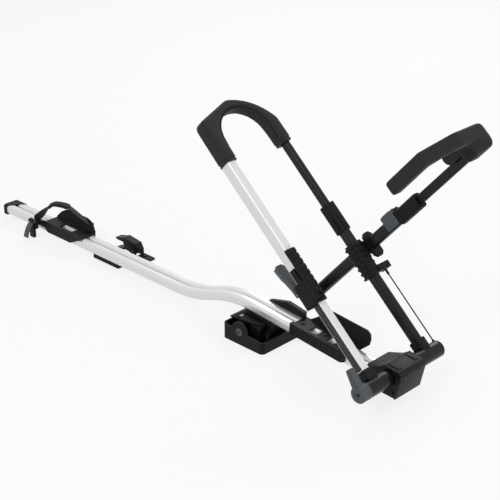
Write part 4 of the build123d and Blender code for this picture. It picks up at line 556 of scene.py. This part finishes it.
# Stepped front and cover of the clamp in the foot, on each side of the knob's spindle
STEP_FLOOR, STEP_REAR_TOP, STEP_FRONT_TOP, STEP_NEAR, STEP_FAR, STEP_EDGE = 0.010, 0.054, 0.052, -0.056, -0.0305, 0.003
for where, rear, front in (("rear", -0.032, -0.019), ("front", -0.001, 0.032)):
    moulded("clamp_step_" + where, [(rear, STEP_FLOOR), (front, STEP_FLOOR), (front, STEP_FRONT_TOP),
                                    (rear, STEP_REAR_TOP)], STEP_NEAR, STEP_FAR, STEP_EDGE, housing_black,
            "base")
COVER_PLAN = ((-0.0335, -0.066), (0.014, -0.052), (0.034, -0.036), (0.034, -0.0305), (-0.0335, -0.0305))
LEAN_FROM, UNDERSIDE, UNDER_LEAN, TOPSIDE, TOP_LEAN, CLAMP_EDGE = -0.0405, 0.0545, 0.05, 0.0645, 0.085, 0.0028
rounded_solid("clamp_cover", [(x, y, UNDERSIDE - (x - LEAN_FROM) * UNDER_LEAN) for x, y in COVER_PLAN],
              [(x, y, TOPSIDE - (x - LEAN_FROM) * TOP_LEAN) for x, y in COVER_PLAN], CLAMP_EDGE, housing_black,
              "base")

# Clamp plate over the foot, thick and leaning, with its beak
PLATE = ((-0.0740, 0.051), (-0.0640, 0.050), (-0.0425, 0.050), (-0.0425, 0.0585), (-0.0560, 0.0595), (-0.0730, 0.054))
PLATE_HALF, PLATE_EDGE = 0.058, 0.0014
jaw = moulded("clamp_plate", PLATE, -PLATE_HALF, PLATE_HALF, PLATE_EDGE, black_steel, "foot_jaw")
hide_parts("foot_jaw")

# Wheel strap over the rear tray, with its ratchet teeth and its padded stretch
STRAP_FROM, STRAP_TO = Vector((-0.952, -0.038, 0.0)), Vector((-0.762, 0.041, 0.0))
STRAP_RISES = ((0.0, 0.0), (0.17, 0.46), (0.34, 0.98), (0.58, 0.96), (0.82, 0.46), (1.0, 0.2))
RAIL_TOP, TRAY_FLOOR, STRAP_WALL, STRAP_WIDTH = 0.047, 0.0035, 0.0032, 0.022
TRAY_TOP, STRAP_OVER_TRAY = 0.084, 0.034
STRAP_CREST = TRAY_TOP - TRAY_FLOOR - RAIL_TOP + STRAP_OVER_TRAY
STRAP_STEPS, STRAP_POINTS, STRAP_POWER, TOOTH_EVERY, TOOTH_HALF_WIDTH = 160, 32, 4.5, 4, 0.7
PAD_FROM, PAD_TO, PAD_WIDTH, PAD_WALL, PAD_TOOTH, PAD_TWIST = 48, 100, 0.028, 0.0095, 0.0008, 0.30
TWIST_END = 0.44
NEAR_WIDTH = Vector((-0.85, -0.25, 0.45)).normalized()
run = STRAP_TO - STRAP_FROM
across_strap = Vector((-run.y, run.x, 0.0)).normalized()
strap_line = resample([
    STRAP_FROM + run * share + Vector((0.0, 0.0, RAIL_TOP + TRAY_FLOOR + STRAP_WALL + rise * STRAP_CREST))
    for share, rise in STRAP_RISES
], STRAP_STEPS)
strap_line = smoothed(strap_line, 90)


def strap_rings(points, width, wall, tooth, first=0.0):
    """Band along the strap's line; its near stretch turns its flat face to the side."""
    rings = []
    for index, spot in enumerate(points):
        before = points[max(0, index - 1)]
        after = points[min(len(points) - 1, index + 1)]
        along = (after - before).normalized()
        untwisted = min(1.0, (first + index / len(strap_line)) / TWIST_END)
        side = NEAR_WIDTH.lerp(across_strap, eased(untwisted))
        side = (side - along * side.dot(along)).normalized()
        upward = along.cross(side)
        full = math.sqrt(max(0.05, end_share(index, len(points), 0.0, 4.0)))
        raised = tooth if index % TOOTH_EVERY < TOOTH_EVERY / 2 else 0.0
        ring = []
        for step in range(STRAP_POINTS):
            u, v = boxy(math.tau * step / STRAP_POINTS, STRAP_POWER)
            lift = raised if v > 0 and abs(u) < TOOTH_HALF_WIDTH else 0.0
            ring.append(spot + side * (u * width / 2 * full) + upward * (v * wall / 2 * full + lift))
        rings.append(ring)
    return rings


strap = sweep_mesh("wheel_strap_rubber", strap_rings(strap_line, STRAP_WIDTH, STRAP_WALL, 0.0), strap_rubber,
                   "rear_tray")
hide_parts("wheel_strap")
strap_pad = sweep_mesh("wheel_strap_pad", strap_rings(strap_line[PAD_FROM:PAD_TO], PAD_WIDTH, PAD_WALL, PAD_TOOTH,
                                                      PAD_TWIST), strap_rubber, "rear_tray")
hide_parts("strap_pad")

# Tilted paddle of the buckle lever
PADDLE = ((-0.0570, 0.0515), (-0.0630, 0.0485), (-0.0720, 0.0375), (-0.0785, 0.0240), (-0.0830, 0.0095),
          (-0.0795, 0.0085), (-0.0750, 0.0215), (-0.0685, 0.0340), (-0.0600, 0.0430), (-0.0560, 0.0440))
PADDLE_REAR, PADDLE_FRONT, PADDLE_EDGE = -0.956, -0.936, 0.0010
rounded_solid("buckle_paddle", [(PADDLE_REAR, y, z) for y, z in PADDLE], [(PADDLE_FRONT, y, z) for y, z in PADDLE],
              PADDLE_EDGE, lever_grey, "buckle_lever")

# Lock cable, taut between the slider block and the cross tube
CABLE_Y, CABLE_LEVEL, CABLE_RADIUS, CABLE_HIGH, CABLE_STRAIGHT, TUBE_RADIUS = 0.149, 0.004, 0.0018, 0.238, 0.022, 0.0216
cable_low = math.sqrt(TUBE_RADIUS ** 2 - CABLE_LEVEL ** 2) + CABLE_RADIUS
cable_points = [on_hoop(station, CABLE_Y, CABLE_LEVEL)
                for station in (CABLE_HIGH, CABLE_HIGH - CABLE_STRAIGHT, cable_low + CABLE_STRAIGHT, cable_low)]
curve = bpy.data.curves.new("lock_cable_wire", "CURVE")
curve.dimensions = "3D"
spline = curve.splines.new("NURBS")
spline.points.add(len(cable_points) - 1)
for place, spot in zip(spline.points, cable_points):
    place.co = (*spot, 1.0)
spline.order_u = 3
spline.use_endpoint_u = True
curve.bevel_depth = CABLE_RADIUS
curve.bevel_resolution = 4
curve.use_fill_caps = True
curve.materials.append(black_tube)
cable = bpy.data.objects.new("lock_cable_wire", curve)
bpy.context.scene.collection.objects.link(cable)
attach(cable, "lower_hoop")
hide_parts("lock_cable")

# Camera, floor and light
CAMERA_PLACE, CAMERA_AIM, LENS, SENSOR = (2.1150, -2.2228, 1.7158), (-0.0542, 0.0, 0.2344), 93.96, 36.0
FLOOR_HALF, FLOOR_Z, FLOOR_SHOWN, FLOOR_GREY = 12.0, -0.0005, 0.80, (0.85, 0.85, 0.85)
WHITE, SKY_STRENGTH = (1.0, 1.0, 1.0, 1.0), 0.55
LAMPS = (
    ("key", (0.6, -3.2, 3.4), (0.0, 0.0, 0.2), 1.6, 60.0),
    ("rim", (-1.5, 2.8, 2.6), (0.0, 0.0, 0.3), 2.0, 40.0),
    ("front", (3.6, 0.6, 1.8), (0.2, 0.0, 0.3), 1.6, 28.0),
)


def look_at(thing, place, aim):
    """Puts a camera or a lamp at a place and turns it to a point."""
    thing.location = place
    thing.rotation_euler = (Vector(aim) - Vector(place)).to_track_quat("-Z", "Y").to_euler()


camera_data = bpy.data.cameras.new("camera")
camera_data.lens, camera_data.sensor_width = LENS, SENSOR
camera = bpy.data.objects.new("camera", camera_data)
bpy.context.scene.collection.objects.link(camera)
look_at(camera, CAMERA_PLACE, CAMERA_AIM)
bpy.context.scene.camera = camera


def either_ray(tree, path, *kinds):
    """1 for a ray of any of these kinds, and 0 for others."""
    value = path.outputs[kinds[0]]
    for kind in kinds[1:]:
        either = node(tree, "ShaderNodeMath", operation="MAXIMUM")
        tree.links.new(value, either.inputs[0])
        tree.links.new(path.outputs[kind], either.inputs[1])
        value = either.outputs[0]
    return value


def backdrop_material(name, colour, shown):
    """Pale matte surface that the camera and reflections see as a plain bright ground."""
    material = bpy.data.materials.new(name)
    material.use_nodes = True
    tree = material.node_tree
    tree.nodes.clear()
    out = node(tree, "ShaderNodeOutputMaterial")
    matte = node(tree, "ShaderNodeBsdfDiffuse", Color=(*colour, 1.0))
    glow = node(tree, "ShaderNodeEmission", Color=WHITE, Strength=1.0)
    mix = node(tree, "ShaderNodeMixShader")
    path = node(tree, "ShaderNodeLightPath")
    share = node(tree, "ShaderNodeMath", operation="MULTIPLY")
    share.inputs[1].default_value = shown
    tree.links.new(either_ray(tree, path, "Is Camera Ray", "Is Glossy Ray"), share.inputs[0])
    tree.links.new(share.outputs[0], mix.inputs["Fac"])
    tree.links.new(matte.outputs[0], mix.inputs[1])
    tree.links.new(glow.outputs[0], mix.inputs[2])
    tree.links.new(mix.outputs[0], out.inputs["Surface"])
    return material


floor_mesh = bpy.data.meshes.new("floor")
floor_mesh.from_pydata([(-FLOOR_HALF, -FLOOR_HALF, FLOOR_Z), (FLOOR_HALF, -FLOOR_HALF, FLOOR_Z),
                        (FLOOR_HALF, FLOOR_HALF, FLOOR_Z), (-FLOOR_HALF, FLOOR_HALF, FLOOR_Z)], [],
                       [(0, 1, 2, 3)])
floor = bpy.data.objects.new("floor", floor_mesh)
bpy.context.scene.collection.objects.link(floor)
floor_mesh.materials.append(backdrop_material("pale_floor", FLOOR_GREY, FLOOR_SHOWN))

world = bpy.data.worlds.new("studio")
bpy.context.scene.world = world
world.use_nodes = True
tree = world.node_tree
tree.nodes.clear()
sky = node(tree, "ShaderNodeBackground", Color=WHITE, Strength=SKY_STRENGTH)
bright = node(tree, "ShaderNodeBackground", Color=WHITE, Strength=1.0)
path = node(tree, "ShaderNodeLightPath")
mix = node(tree, "ShaderNodeMixShader")
out = node(tree, "ShaderNodeOutputWorld")
seen = either_ray(tree, path, "Is Camera Ray", "Is Glossy Ray", "Is Transmission Ray")
tree.links.new(seen, mix.inputs["Fac"])
tree.links.new(sky.outputs[0], mix.inputs[1])
tree.links.new(bright.outputs[0], mix.inputs[2])
tree.links.new(mix.outputs[0], out.inputs["Surface"])

for name, place, aim, size, power in LAMPS:
    lamp_data = bpy.data.lights.new(name, "AREA")
    lamp_data.shape = "DISK"
    lamp_data.size, lamp_data.energy = size, power
    lamp = bpy.data.objects.new(name, lamp_data)
    bpy.context.scene.collection.objects.link(lamp)
    look_at(lamp, place, aim)

bpy.context.scene.view_settings.view_transform = "Standard"
